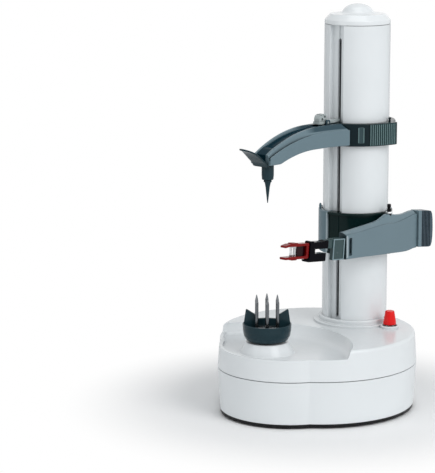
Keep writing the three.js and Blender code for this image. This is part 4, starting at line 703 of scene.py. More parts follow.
def hollow_and_crown(half, height, start):
    """A mask that is white in the arm's hollow, where shade is painted, and on its crown above a height,
    fading in behind a start.
    """
    def build(tree):
        aside = maths(tree, "ABSOLUTE", axis_value(tree, "X"))
        hollow = ranged(tree, aside, half + 0.0003, half - 0.0003)
        high = ranged(tree, axis_value(tree, "Z"), height - 0.0003, height + 0.0003, **{"To Max": 0.75})
        crown = maths(tree, "MULTIPLY", high, behind(start, 0.005)(tree))
        return maths(tree, "MAXIMUM", hollow, crown)
    return build


def count_of(name, description, default, low, high):
    return bpy.props.IntProperty(name=name, description=description, default=default, min=low, max=high)


def length_of(name, description, default, low, high):
    return bpy.props.FloatProperty(name=name, description=description, default=default, min=low, max=high,
                                   unit="LENGTH", subtype="DISTANCE")


def colour_of(name, description, default):
    return bpy.props.FloatVectorProperty(name=name, description=description, default=default, size=3,
                                         subtype="COLOR", min=0, max=1)


class PeelerSizes(bpy.types.PropertyGroup):
    """Sizes that a user may change before the pieces are made"""
    facets: count_of("Facets", "Facets round a large turned piece", 128, 32, 256)
    edge_round: length_of("Edge round", "Radius of the small moulded edges", 0.0005, 0.0001, 0.001)
    rim_round: length_of("Rim round", "Radius of the deck's rim", 0.0024, 0.0005, 0.004)
    collar_ribs: count_of("Collar ribs", "Ribs on each side of the upper collar", 12, 2, 12)
    grip_grooves: count_of("Grip grooves", "Grooves across the lever's grip", 6, 2, 6)
    prongs: count_of("Prongs", "Steel prongs in the cup", 6, 3, 8)


class PeelerColours(bpy.types.PropertyGroup):
    """Colours that a user may change before the finishes are mixed"""
    housing: colour_of("Housing", "Glossy housing, column and cap", (0.80, 0.83, 0.845))
    slate: colour_of("Slate", "Arm, lever and carriage", (0.145, 0.212, 0.245))
    dark: colour_of("Dark slate", "Collar, cup, grip and spike", (0.014, 0.036, 0.046))
    button: colour_of("Button", "Push button", (0.80, 0.007, 0.007))
    fork: colour_of("Fork", "Frame that holds the blade", (0.20, 0.002, 0.002))
    floor: colour_of("Floor", "Floor under the peeler", (0.92, 0.92, 0.92))


class PEELER_OT_finishes(bpy.types.Operator):
    """Mixes the finish of every piece"""
    bl_idname = "peeler.finishes"
    bl_label = "Finishes"

    def execute(self, context):
        colours = context.scene.peeler_colours
        moulded_group()
        crease_group()
        turned_group()
        # Each finish's shade and reach set the painted shade that the crease group puts into its creases,
        # grooves and recesses.
        plastic("Glossy white", colours.housing, 0.15, coat=0.12, grain=900.0, skin=0.04, shade=0.15,
                reach=0.004)
        plastic("Housing white", colours.housing, 0.24, 0.35, grain=900.0, skin=0.05, shade=0.3, reach=0.006)
        plastic("Dark slate", colours.dark, 0.18, 0.18, grain=1700.0, skin=0.05, shade=0.6, reach=0.003)
        plastic("Grip slate", colours.slate, 0.28, 0.3, grain=1700.0, shade=0.85, reach=0.0022,
                second=(0.055, 0.085, 0.11), mask=behind((COLUMN_Y + 31.2) * MM))
        # Near-black right of the edge rib and towards the front: painted shade, where the sunk panel lies
        # behind the lever.
        plastic("Collar slate", colours.slate, 0.2, 0.12, grain=1700.0, skin=0.03,
                second=(0.003, 0.014, 0.014),
                mask=both(behind(-4.0 * MM, 0.0001, axis="X"), behind((COLUMN_Y + 17.6) * MM, -0.0001)))
        # Near-black in the hollow between the ridges: painted shade; also darker on the crown. The strong
        # crease shade paints the fine groove dark.
        plastic("Arm slate", colours.slate, 0.22, 0.25, grain=1700.0, skin=0.05, shade=0.9, reach=0.0022,
                second=(0.004, 0.026, 0.040),
                mask=hollow_and_crown(4.7 * MM, 209.6 * MM, (COLUMN_Y - 62) * MM),
                dull=0.03)
        # Near-black on the lever's front end, before y -54.4: painted shade of the gap between the lever and
        # the cartridge.
        plastic("Lever slate", colours.slate, 0.24, 0.35, grain=1700.0, skin=0.05,
                second=(0.006, 0.026, 0.034),
                mask=behind((COLUMN_Y - 54.4) * MM, -0.0001))
        # Lighter beyond r 29.7, on the ribs and the flared grip: painted highlight on their crests; the
        # crease shade darkens the grooves between them.
        plastic("Ribbed slate", (0.004, 0.014, 0.018), 0.18, 0.16, grain=1700.0, skin=0.03, shade=0.6,
                reach=0.0016,
                second=(0.012, 0.032, 0.036), mask=beyond(29.7 * MM))
        # Light slate for the collar's teeth and the beads beside its panes: painted highlight.
        plastic("Rib slate", (0.12, 0.20, 0.205), 0.2, 0.4, grain=1700.0, skin=0.03, shade=0.5, reach=0.001)
        # Lighter slate for the collar's panes: painted reflection.
        plastic("Pane slate", (0.03, 0.062, 0.07), 0.18, 0.3, grain=1700.0, skin=0.03, shade=0.5, reach=0.002)
        # Light slate on narrow ribs and beads along edges: painted highlight.
        plastic("Edge slate", (0.34, 0.41, 0.44), 0.15, 0.5, grain=1700.0, skin=0.03)
        # Light beyond x 38.12, on the outer frame round the sunk face: painted highlight; the sunk face stays
        # dark.
        plastic("Cartridge slate", (0.035, 0.068, 0.072), 0.25, 0.3, grain=1700.0, skin=0.2,
                second=(0.20, 0.28, 0.31), mask=behind(38.12 * MM, 0.00005, axis="X"))
        plastic("Gloss black", (0.002, 0.002, 0.004), 0.1, 0.05, skin=0.05)
        plastic("Satin black", (0.006, 0.006, 0.007), 0.42, 0.2)
        plastic("Button red", colours.button, 0.24, 0.25, skin=0.05, shade=0.6)
        plastic("Fork red", colours.fork, 0.18, 0.15, skin=0.05, shade=0.7)
        # Far darker than the fork's red: painted shade on the web between its tines.
        plastic("Maroon", (0.018, 0.001, 0.003), 0.2, 0.15, skin=0.05, shade=0.7)
        plastic("Light grey", (0.40, 0.45, 0.45), 0.26, shade=0.9, reach=0.0018)
        plastic("Plate grey", (0.42, 0.46, 0.48), 0.45)
        plastic("Natural nylon", (0.80, 0.76, 0.66), 0.48)
        plastic("Foot rubber", (0.012, 0.012, 0.013), 0.75, 0.3, grain=2600.0, skin=0.5)
        plastic("Red wire sleeve", (0.55, 0.02, 0.02), 0.4)
        plastic("Black wire sleeve", (0.012, 0.012, 0.013), 0.4, 0.3)
        plastic("Cell sleeve", (0.05, 0.06, 0.08), 0.24, skin=0.1, second=(0.62, 0.42, 0.16),
                mask=behind((COLUMN_Y + 4.0) * MM))
        metal("Polished steel", (0.60, 0.61, 0.62), 0.2)
        metal("Dark steel", (0.16, 0.17, 0.18), 0.24)
        metal("Blackened steel", (0.012, 0.012, 0.014), 0.3)
        metal("Blade steel", (0.66, 0.67, 0.68), 0.16, rings=4000.0)
        metal("Turned brass", (0.60, 0.43, 0.17), 0.25)
        return {"FINISHED"}


CARRIED = {
    "Polished steel": ["contact_front", "contact_rear", "motor", "compound_axle", "idler_axle",
                       "spindle_shaft",
                       "column_screw_1", "column_screw_2", "case_screw_1",
                       "case_screw_2", "case_screw_3", "case_screw_4"],
    "Turned brass": ["motor_pinion", "spindle_bush", "screw_bush"],
    "Natural nylon": ["compound_gear", "idler_gear", "spindle_gear", "screw_gear", "carriage_nut"],
    "Plate grey": ["gear_plate"],
    "Satin black": ["battery_door", "base_plate", "power_switch"],
    "Foot rubber": ["rubber_foot_1", "rubber_foot_2", "rubber_foot_3", "rubber_foot_4"],
    "Cell sleeve": ["battery_cell_1", "battery_cell_2", "battery_cell_3", "battery_cell_4"],
    "Red wire sleeve": ["supply_wire"],
    "Black wire sleeve": ["motor_wire"],
}


class PEELER_OT_carried(bpy.types.Operator):
    """Gives the frame's own inner parts their finishes"""
    bl_idname = "peeler.carried"
    bl_label = "Inner parts"

    def execute(self, context):
        for finish, names in CARRIED.items():
            for name in names:
                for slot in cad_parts[name].material_slots:
                    slot.material = bpy.data.materials[finish]
        return {"FINISHED"}


def base_form(name, profile_of, steps=None):
    """The base's outline: a main circle and a lobe round the spindle, with the same profile."""
    forms = [turned(f"{name}_{i}", profile_of(radius), 0, y, steps) for i,
             (y, radius) in enumerate((MAIN, LOBE))]
    return add(forms[0], forms[1])


class PEELER_OT_lower_housing(bpy.types.Operator):
    """Lower housing: an open wall with a little draft"""
    bl_idname = "peeler.lower_housing"
    bl_label = "Lower housing"

    def execute(self, context):
        low, high = LOWER
        piece = base_form("housing_lower", lambda r: [(0, low), (r - LOWER_DRAFT, low, 0.5), (r, high, 0.3),
                                                      (0, high)])
        hollow = base_form("hollow", lambda r: [(0, low - 2), (r - LOWER_DRAFT - WALL, low - 2),
                                                (r - WALL, high + 2), (0, high + 2)])
        cut(piece, hollow)
        piece.name = "housing_lower"
        hand_over(smooth(piece), "base", "white_plastic", "Housing white", "lower_housing")
        return {"FINISHED"}


def ramp_rows(first, last, count):
    """Circles of the ramp between two shares of its length: flat at the tray, steeper towards its edge."""
    rows = []
    for i in range(count + 1):
        t = first + (last - first) * i / count
        rise = t ** RAMP_CURVE * 1.003
        rows.append((RAMP_FOOT[0] + (RAMP_TOP[0] - RAMP_FOOT[0]) * t,
                     RAMP_FOOT[1] + (RAMP_TOP[1] - RAMP_FOOT[1]) * t,
                     TRAY + (UPPER[1] - TRAY) * rise))
    return rows


def outer_gap(point):
    """How far a point stands inside the base's drafted outline, in millimetres."""
    x, y, z = point.x / MM, point.y / MM - COLUMN_Y, point.z / MM
    draft = UPPER_DRAFT * (z - UPPER[0]) / (UPPER[1] - UPPER[0])
    reaches = [(radius, math.hypot(x, y - centre)) for centre, radius in (MAIN, LOBE)]
    return min((radius - draft - far for radius, far in reaches if far <= radius + 1), default=0.0)


class PEELER_OT_upper_housing(bpy.types.Operator):
    """Upper housing: the rear deck, the ramp, the tray and the cone under the cup"""
    bl_idname = "peeler.upper_housing"
    bl_label = "Upper housing"

    def execute(self, context):
        sizes = context.scene.peeler_sizes
        low, deck = UPPER
        rim = sizes.rim_round / MM
        piece = base_form("housing_upper", lambda r: [(0, low), (r, low, 0.3), (r - UPPER_DRAFT, deck, rim),
                                                      (0, deck)])
        share = ((LOW_RIM - TRAY) / (deck - TRAY)) ** (1 / RAMP_CURVE)
        rows = ramp_rows(share, 1, 18)
        over = (rows[-1][0], rows[-1][1] - 0.01, deck + 4)
        cut(piece, bowl("ramp", rows + [over], sizes.facets))
        eased_where(piece, lambda e: sharp(e, 38)
                    and min(v.co.z for v in e.verts) > (LOW_RIM - 0.1) * MM
                    and max(outer_gap(v.co) for v in e.verts) < 0.8, 0.7)
        eased_where(piece, lambda e: sharp(e, 25)
                    and min(v.co.z for v in e.verts) > (deck - 0.2) * MM
                    and min(outer_gap(v.co) for v in e.verts) > rim + 0.8, 0.9)
        tray = base_form("tray", lambda r: [(0, TRAY), (r - LIP, TRAY, 0.9), (r - LIP + 0.1, LOW_RIM - 0.5),
                                            (r - LIP + 0.25, LOW_RIM - 0.15), (r - LIP + 0.7, LOW_RIM + 0.02),
                                            (r - LIP + 0.7, deck + 1), (0, deck + 1)])
        keep(tray, bowl("tray_end", [(RAMP_FOOT[0], RAMP_FOOT[1], TRAY - 4)] + ramp_rows(0, share + 0.12, 8)
                        + [(rows[3][0], rows[3][1], deck + 2)], sizes.facets))
        cut(piece, tray)
        cone = turned("cone", [(0, 47.5), (22.6, 47.5), (22.6, TRAY + 0.02), (20.1, TRAY + 0.02, 1.6),
                               (15.5, CONE_TOP, 0.8), (0, CONE_TOP)], 0, SPINDLE_Y)
        add(piece, cone)
        hollow = base_form("hollow", lambda r: [(0, low - 2), (r - WALL, low - 2),
                                                (r - WALL - 0.6, TRAY - WALL), (0, TRAY - WALL)])
        cut(piece, hollow)
        room = box("switch_room", -50, 50, -26, 26, 44, deck - WALL)
        keep(room, base_form("inside", lambda r: oblong(0, r - WALL - 1.2, 40, 60)))
        cut(piece, room)
        cut(piece, drum("shaft_hole", 5.0, 30, 70, 0, SPINDLE_Y, 40),
            drum("button_hole", 5.3, 50, 60, *BUTTON, 40))
        # The cuts leave a few points doubled, not always the same ones, so they are merged
        edit(piece)
        closed_up(0.0001)
        piece.name = "housing_upper"
        hand_over(smooth(piece), "base", "white_plastic", "Housing white", "upper_housing")
        return {"FINISHED"}


class PEELER_OT_column(bpy.types.Operator):
    """Column: a drawn tube with a channel down its front and a slit in the channel"""
    bl_idname = "peeler.column"
    bl_label = "Column"

    def execute(self, context):
        steps = context.scene.peeler_sizes.facets
        first = math.degrees(math.asin(CHANNEL_HALF / COLUMN_R))
        edge = math.sqrt(COLUMN_R ** 2 - CHANNEL_HALF ** 2)
        arc = [round_column(COLUMN_R, first + (360 - 2 * first) * i / steps)[:2] for i in range(1, steps)]
        outline = [(CHANNEL_HALF - 0.25, CHANNEL_FLOOR, 0.8), (CHANNEL_HALF, -edge, 0.7), *arc,
                   (-CHANNEL_HALF, -edge, 0.7), (-CHANNEL_HALF + 0.25, CHANNEL_FLOOR, 0.8)]
        piece = upright("column_tube", outline, UPPER[1], COLUMN_TOP)
        bore, wall = COLUMN_R - 2.2, CHANNEL_HALF + 1.8
        first = math.degrees(math.asin(wall / bore))
        arc = [round_column(bore, first + (360 - 2 * first) * i / 64)[:2] for i in range(65)]
        cut(piece, upright("bore", [(wall, CHANNEL_FLOOR + 1.8), *arc, (-wall, CHANNEL_FLOOR + 1.8)], 50,
                           290))
        cut(piece, fronted("slit", [(1.5, 63.1, 1.4), (1.5, 275, 1.4), (-1.5, 275, 1.4), (-1.5, 63.1, 1.4)],
                           -23, -16),
            box("slit_line", -0.6, 1.2, -23, CHANNEL_FLOOR + 0.7, 274, COLUMN_TOP + 1))
        hand_over(smooth(piece), "base", "white_plastic", "Glossy white", "column_shell")
        return {"FINISHED"}


class PEELER_OT_column_ends(bpy.types.Operator):
    """The stepped ring round the column's foot and the domed cap on its top"""
    bl_idname = "peeler.column_ends"
    bl_label = "Foot ring and cap"

    def execute(self, context):
        deck = UPPER[1]
        foot = ring_of("foot_ring", [(24.8, deck), (31, deck), (31, 59.4, 0.6), (27.2, 59.4, 0.5),
                                     (27.2, 62.7, 1.1), (24.8, 62.7, 0.2)])
        cut(foot, drum("button_room", 7.3, 50, 70, *BUTTON, 48))
        hand_over(smooth(foot), "base", "white_plastic", "Housing white", "column_foot_ring")
        dome = [(11.2 * math.sin(a), 293.7 + 6.3 * math.cos(a)) for a in map(math.radians, range(0, 73, 6))]
        profile = dome + [(11.2, 294.9), (11.9, 294.1), (12.9, 293.45), (14.2, 293.0), (15.6, 292.8),
                          (20.7, 292.6, 0.25), (24.6, 288.4, 0.8), (24.7, 285.35, 0.3), (22.1, 285.35),
                          (22.1, 280), (19.9, 280), (19.9, 290), (0, 290.2)]
        cap = turned("cap", profile)
        cut(cap, box("notch", -8.6, 8.6, -26, -17.6, 279, 285.3))
        hand_over(smooth(cap, 26), "base", "white_plastic", "Glossy white", "top_cap")
        return {"FINISHED"}


def coiled(piece, steps, turns, rise):
    """Winds an open outline round the upright axis through the origin."""
    return modified(piece, "Coil", "SCREW", axis="Z", steps=steps, render_steps=steps, iterations=turns,
                    screw_offset=rise * MM, use_merge_vertices=False)


def wound(name, x, y, radius, wire, z0, z1, turns):
    """A spring wound from round wire, with closed ends."""
    rest()
    bpy.ops.mesh.primitive_circle_add(vertices=10, radius=wire * MM, rotation=(math.pi / 2, 0, 0),
                                      location=(radius * MM, 0, z0 * MM))
    piece = bpy.context.object
    piece.name = piece.data.name = name
    bpy.ops.object.transform_apply(location=True, rotation=True, scale=True)
    coiled(piece, 28, turns, (z1 - z0) / turns)
    edit(piece)
    for low in (True, False):
        choose(lambda e: e.is_boundary and (e.verts[0].co.z < (z0 + z1) / 2 * MM) == low, "EDGE")
        bpy.ops.mesh.edge_face_add()
    bpy.ops.mesh.select_all(action="SELECT")
    bpy.ops.transform.translate(value=place(x, y, 0))
    return closed_up()


class PEELER_OT_lead_screw(bpy.types.Operator):
    """Lead screw: a core with a thread wound round it"""
    bl_idname = "peeler.lead_screw"
    bl_label = "Lead screw"

    def execute(self, context):
        y = SCREW_Y
        core = turned("screw_core", [(0, 27, 0), (3, 27, 0.4), (3, 285, 0.4), (0, 285)], 0, y, 32)
        points = [(2.8, y, 66), (4.2, y, 67), (4.2, y, 67.9), (2.8, y, 68.9)]
        thread = dot("screw_thread", points[0])
        draw(points)
        fill()
        bpy.ops.transform.translate(value=-place(0, y, 0))
        bpy.ops.mesh.delete(type="ONLY_FACE")
        coiled(thread, 16, 34, 6)
        edit(thread)
        choose(lambda e: e.is_boundary, "EDGE")
        bpy.ops.mesh.edge_face_add()
        bpy.ops.mesh.select_all(action="SELECT")
        bpy.ops.transform.translate(value=place(0, y, 0))
        closed_up()
        hand_over(smooth(together(core, thread)), "lead_screw_assembly", "steel", "Polished steel",
                  "lead_screw")
        return {"FINISHED"}


class PEELER_OT_cup(bpy.types.Operator):
    """Cup: a turned bowl with two tall fins and a hub for the prongs"""
    bl_idname = "peeler.cup"
    bl_label = "Cup"

    def execute(self, context):
        y = SPINDLE_Y
        profile = [(0, 58.7), (13.9, 58.7, 0.8), (15.5, 59.7, 0.8), (17, 62.6, 2), (17.75, 66.5, 2),
                   (18, 71.5, 0.5), (15.9, 71.5, 0.6), (15.2, 65.6, 1.2), (6.4, 65.6, 0.6), (6.4, 66.7, 0.4),
                   (0, 66.7)]
        piece = turned("cup_bowl", profile, 0, y)
        for i in range(2):
            outline = [(8.6, 65), (17.6, 65), (17.3, 71.5), (16.9, 73.2), (15.6, 82.1, 1.1),
                       (14.4, 81.8, 1.0), (8.8, 78.2, 1.4)]
            fin = fronted(f"fin_{i}", outline, y - 1.2, y + 1.2)
            eased(fin, 0.45, 40)
            edit(fin)
            bpy.ops.mesh.select_all(action="SELECT")
            bpy.ops.transform.rotate(value=-(CUP_TURN + i * math.pi), orient_axis="Z",
                                     center_override=place(0, y, 0))
            rest()
            add(piece, fin)
        eased_where(piece, lambda e: sharp(e, 50)
                    and 65.4 < min(v.co.z for v in e.verts) / MM and max(v.co.z for v in e.verts) / MM < 73
                    and e.calc_face_angle_signed(0) < 0, 0.5, 2)
        hand_over(smooth(piece), "spindle", "dark_slate_plastic", "Dark slate", "cup")
        return {"FINISHED"}


class PEELER_OT_prongs(bpy.types.Operator):
    """Prongs: ground steel points on a pressed ring"""
    bl_idname = "peeler.prongs"
    bl_label = "Prongs"

    def execute(self, context):
        count = context.scene.peeler_sizes.prongs
        y = SPINDLE_Y
        ring = ring_of("prong_ring", oblong(6.7, 11.4, 65.9, 66.9, 0.2), 0, y,
                       64)
        first = turned("prong", [(0, 66), (1.6, 66), (1.6, 67.2, 0.3), (1.2, 67.6, 0.3), (1.2, 87.6, 1.5),
                                 (0.35, 91.6, 0.3), (0, 92)], 8.8, y, 24)
        step = 360 / count
        turns = {f"prong_{i}": math.degrees(CUP_TURN) + step * (i + 0.5) for i in range(count)}
        pieces = copies(first, turns, (0, y, 0))
        hand_over(smooth(together(ring, *pieces)), "spindle", "steel", "Dark steel", "prongs")
        return {"FINISHED"}


class PEELER_OT_button(bpy.types.Operator):
    """Power button and the bezel it works in"""
    bl_idname = "peeler.button"
    bl_label = "Button"

    def execute(self, context):
        button = turned("button_cap", [(0, 50.3), (1.6, 50.3, 0.2), (1.6, 66.3), (3.2, 66.4), (3.2, 60.6),
                                       (4.95, 60.6, 0.2), (4.8, 62.6, 1), (3.35, 71, 0.9), (1.8, 70.8, 1.5),
                                       (0, 70.7)], *BUTTON, 64)
        hand_over(smooth(button, 40), "button", "red_plastic", "Button red", "power_button")
        coil = wound("button_coil", *BUTTON, 2.35, 0.3, 58.45, 65.85, 7)
        hand_over(smooth(coil, 60), "base", "steel", "Polished steel", "button_spring")
        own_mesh(coil)
        bezel = ring_of("bezel", [(5.4, UPPER[1]), (7, UPPER[1]), (7, 59.8, 0.7), (5.4, 59.8, 0.4)], *BUTTON,
                        64)
        hand_over(smooth(bezel), "base", "white_plastic", "Housing white", "button_bezel")
        return {"FINISHED"}


def key(name, z0, z1):
    """The key that runs in the column's channel."""
    return eased(box(name, -5.9, 5.9, -26.4, -20.4, z0, z1), 0.3)


class PEELER_OT_carriage(bpy.types.Operator):
    """Carriage: a collar with a sunk panel behind the lever, painted near-black as shade, a key and the lug
    for its pin
    """
    bl_idname = "peeler.carriage"
    bl_label = "Carriage"

    def execute(self, context):
        low, high = CARRIAGE
        r = CARRIAGE_R
        piece = ring_of("carriage_collar", [(COLLAR_BORE, low, 0.4), (r, low, 0.9), (r, high, 0.9),
                                            (COLLAR_BORE, high, 0.5)])
        panel = [round_column(r - 1.5, a)[:2] for a in range(-10, 131, 2)]
        panel += [round_column(r + 4, a)[:2] for a in range(130, -11, -2)]
        sunk = upright("panel", panel, low + 1.6, high - 1.8)
        cut(piece, sunk)
        lug = box("lug", r - 2.4, PIN[0], -3, 3, 121.4, 129)
        knuckle = turned("knuckle", [(0, 121.4), (3.4, 121.4, 0.3), (3.4, 129, 0.3), (0, 129)], *PIN, 40)
        add(piece, key("carriage_key", low, high), lug, knuckle)
        cut(piece, drum("pin_hole", 1.7, 110, 140, *PIN, 32),
            box("nut_slot", -1.7, 1.7, -24.3, -20, 122.7, 135.3))
        eased(piece, 0.3, 40, 2)
        # A light rib along the sunk panel's edge: painted highlight.
        edge = upright("edge_rib", [(-0.6, -r + 1), (0.6, -r + 1), (0.6, -r - 0.6, 0.55),
                                    (-0.6, -r - 0.6, 0.55)],
                       low + 0.6, high - 0.6)
        highlight_bead, = copies(edge, {"carriage_edge": -9.7})
        hand_over(smooth(highlight_bead), "carriage_assembly", "slate_plastic", "Edge slate", "carriage")
        latch = turned("latch", [(0, 143), (1.0, 143), (1.0, 147.4, 0.5), (0.7, 148.8, 0.4), (0, 149.1)],
                       *round_column(26.8, -42)[:2], 24)
        together(piece, latch)
        hand_over(smooth(piece), "carriage_assembly", "slate_plastic", "Collar slate", "carriage")
        return {"FINISHED"}


class PEELER_OT_pin(bpy.types.Operator):
    """The lever's pin with its nut, and the wound spring round it"""
    bl_idname = "peeler.pin"
    bl_label = "Pin and spring"

    def execute(self, context):
        pin = turned("pin_rod", [(0, 114), (1.5, 114, 0.2), (1.5, 148.3, 0.2), (1.1, 148.6, 0.1),
                                 (1.1, 149.2, 0.1), (1.5, 149.5, 0.2), (1.5, 151.9, 0.7), (0, 152)], *PIN, 32)
        nut = ring_of("pin_nut", [(1.4, 144.7), (2.6, 144.7, 0.3), (2.6, 146.1, 0.3), (1.4, 146.1)], *PIN, 6)
        hand_over(smooth(pin), "carriage_assembly", "steel", "Blackened steel", "pivot_pin")
        hand_over(smooth(nut), "carriage_assembly", "steel", "Polished steel", "pivot_pin")
        x, y = PIN
        coil = wound("spring_coil", x, y, 2.45, 0.36, 129.75, 135.75, 6)
        hand_over(smooth(coil, 60), "carriage_assembly", "steel", "Polished steel", "torsion_spring")
        return {"FINISHED"}


def lever_section(y):
    """The lever across its length: a flat outer side, a shoulder with a fine groove, and a ridge."""
    foot, shoulder, ridge = (flowing(line, y) for line in (LEVER_FOOT, LEVER_SHOULDER, LEVER_RIDGE))
    inner, outer, crest = 31.0, 38.0, 34.0
    low = min(shoulder + 0.1, ridge - 0.6)
    return [(inner + 0.5, y, foot), (outer - 0.9, y, foot), (outer - 0.25, y, foot + 0.3),
            (outer, y, foot + 1.0), (outer, y, shoulder - 0.9), (outer - 0.12, y, shoulder - 0.45),
            (outer - 0.4, y, shoulder - 0.25), (outer - 0.55, y, shoulder - 0.7),
            (outer - 0.85, y, shoulder - 0.7), (outer - 1.0, y, low - 0.1),
            (outer - 1.3, y, low + 0.15), (crest + 0.45, y, ridge - 0.25), (crest + 0.1, y, ridge - 0.05),
            (crest - 0.3, y, ridge), (inner + 0.5, y, ridge), (inner, y, ridge - 0.5), (inner, y, foot + 0.5)]


class PEELER_OT_lever(bpy.types.Operator):
    """Peeling lever: a deep plate that sweeps back to its grip and turns on the pin"""
    bl_idname = "peeler.lever"
    bl_label = "Lever"

    def execute(self, context):
        front, rear = LEVER_Y
        count = 44
        piece = lofted("lever_plate",
                       [lever_section(front + (rear - front) * i / count) for i in range(count + 1)])
        x, y = PIN
        cut(piece, sideways("pocket", oblong(-42, 16, 120, 134.2, 2), 30, 35.8),
            drum("relief", 3.8, 120.8, 136.8, x, y, 40))
        for i, (z0, z1) in enumerate(((116.6, 120.8), (136.8, 137.9))):
            add(piece, turned(f"knuckle_{i}", [(0, z0), (3.4, z0, 0.3), (3.4, z1, 0.3), (0, z1)], x, y, 40),
                box(f"web_{i}", x, 35.9, -3.4, 3.4, z0, z1))
        cut(piece, drum("pin_hole", 1.8, 108, 150, x, y, 32))
        add(piece, box("tail", 33.8, 36.6, rear - 1, 40.4, 118.6, 138.2))
        cut(piece, box("peg_room", 32.9, 37.1, -56, -45.7, 121.4, 131.2),
            sideways("latch_slot", oblong(-51.3, -47.9, 120, 133.4, 0.8), 35, 39))
        eased_where(piece, lambda e: sharp(e, 50)
                    and max(v.co.y for v in e.verts) < place(0, front + 0.05, 0).y, 0.9, 4)
        # A light bead on the lever's front edge: painted highlight.
        highlight_bead = eased(box("lever_bead", 37, 38.4, -54.5, -52.5, 119, 135.3), 0.5, segments=4)
        hand_over(smooth(highlight_bead), "peeling_lever", "slate_plastic", "Edge slate", "peel_arm")
        hand_over(smooth(piece, 28), "peeling_lever", "slate_plastic", "Lever slate", "peel_arm")
        return {"FINISHED"}


class PEELER_OT_grip(bpy.types.Operator):
    """Ribbed grip on the lever's tail"""
    bl_idname = "peeler.grip"
    bl_label = "Grip"

    def execute(self, context):
        piece = sideways("grip_body", GRIP_OUTLINE, 31.6, 39.6)
        for i in range(context.scene.peeler_sizes.grip_grooves):
            y = 32.4 + 1.7 * i
            cut(piece, box(f"groove_{i}", 38.7, 41, y - 0.45, y + 0.45, 113, 145))
        cut(piece, box("tail_room", 33.5, 36.9, 26.7, 40.7, 118.3, 138.5))
        eased_where(piece, lambda e: sharp(e, 40)
                    and min(v.co.y for v in e.verts) > place(0, 27.8, 0).y, 0.34, 2)
        hand_over(smooth(piece, 40), "peeling_lever", "dark_slate_plastic", "Grip slate", "lever_grip")
        return {"FINISHED"}


class PEELER_OT_cartridge(bpy.types.Operator):
    """Grey cartridge that holds the blade head in the lever's front end"""
    bl_idname = "peeler.cartridge"
    bl_label = "Cartridge"

    def execute(self, context):
        piece = head_plate("cartridge_block", [(0.3, -8, 0.4), (14.6, -8, 0.6), (14.6, 7.6, 0.6),
                                               (0.3, 7.6, 0.4)], 3.3)
        cut(piece, head_plate("cartridge_face", oblong(3.1, 13.5, -7.2, 6.8, 0.4),
                              1, 3.95),
            head_plate("cartridge_gap", oblong(-1, 2.0, -9, 9), 2.4, 3.2),
            head_plate("cartridge_relief", oblong(9, 16, -9, 0.6), 2, -1.8))
        step = head_plate("cartridge_step", [(14, 0.9, 0.3), (19.6, 0.9, 0.4), (19.6, 7.0, 0.5),
                                             (14, 7.0, 0.5)], 2.5)
        peg = head_plate("cartridge_peg", [(-3.4, -4.4, 0.5), (1, -4.4), (1, 4.4), (-3.4, 4.4, 0.5)], 1.7)
        add(piece, step, peg)
        eased(piece, 0.28, 40, 2)
        hand_over(smooth(piece), "peeling_lever", "slate_plastic", "Cartridge slate", "blade_cartridge")
        return {"FINISHED"}


class PEELER_OT_carrier(bpy.types.Operator):
    """Black carrier: a bar above and a block below a slit"""
    bl_idname = "peeler.carrier"
    bl_label = "Carrier"

    def execute(self, context):
        bar = head_plate("carrier_bar", [(19.9, 1.0, 0.3), (39.5, 1.0, 0.3), (39.5, 6.8, 1.4),
                                         (36.5, 6.8, 0.8), (35.6, 6.2, 0.6), (24.5, 6.2, 0.6),
                                         (23.6, 6.8, 0.8),
                                         (19.9, 6.8, 0.4)], 2.9)
        lower = head_plate("carrier_block", [(21.9, -2.3, 0.3), (21.9, -8.2, 0.9), (41, -8.2, 1),
                                             (41.9, -6.6, 0.3), (39.5, -6.6, 0.2), (39.5, -2.3, 0.3)], 2.9)
        web = head_plate("carrier_web", [(34, -2.6), (39.5, -2.6, 0.3), (39.5, 1.3, 0.3), (34, 1.3)], 2.9)
        add(bar, web, lower)
        hole = head_rod("pin_room", 1.05, 33.6, 42)
        cut(bar, hole)
        eased(bar, 0.35, 40, 3)
        hand_over(smooth(bar), "peeling_lever", "black_plastic", "Gloss black", "blade_carrier")
        return {"FINISHED"}


def head_rod(name, radius, s0, s1, h=-0.45, x=0.0, facets=24):
    """A round rod that lies along the blade head."""
    points = [in_head(x + a, s0, h + b) for a, b in circle(radius, facets)]
    lift = Vector(in_head(0, s1, 0)) - Vector(in_head(0, s0, 0))
    return traced(name, points, lift)


class PEELER_OT_fork(bpy.types.Operator):
    """Red fork that holds the blade and tilts on its pin"""
    bl_idname = "peeler.fork"
    bl_label = "Fork"

    def execute(self, context):
        x, half = -0.5, 2.5
        outline = [(39.9, -5.6, 1.1), (65.4, -5.6, 1.0), (65.4, -3.8, 0.5), (57, -3.6, 1), (53, -3.6, 1),
                   (42.5, -3.8, 1.2), (42.5, 3.8, 1.2), (53, 3.6, 1), (57, 3.6, 1), (60.4, 3.8, 1),
                   (65.4, 2.9, 0.5), (65.4, 4.4, 0.8), (60.4, 5.6, 2), (39.9, 5.6, 1.1)]
        piece = head_plate("fork_frame", outline, half, x)
        for side in (-1, 1):
            boss = [(51.6, side * 3.7), (58.4, side * 3.7), (58.4, side * 5.6), (57.4, side * 6.3, 0.5),
                    (52.6, side * 6.3, 0.5), (51.6, side * 5.6)]
            add(piece, head_plate(f"boss_{side}", boss, half - 0.3, x))
        cut(piece, *(head_plate(f"pivot_hole_{side}", oblong(54, 56, side * 3, side * 5),
                                1.0, x) for side in (-1, 1)))
        eased(piece, 0.3, 40, 3)
        # A web between the tines, far darker than the fork's red: painted shade.
        painted_shade_web = head_plate("fork_shield", oblong(42.2, 50.6, -3.9, 3.9), 0.7, x)
        hand_over(smooth(eased(painted_shade_web, 0.15)), "blade_fork", "dark_red_plastic", "Maroon", "blade_frame")
        together(piece, head_rod("fork_pin", 0.8, 34, 40.2))
        hand_over(smooth(piece), "blade_fork", "dark_red_plastic", "Fork red", "blade_frame")
        return {"FINISHED"}


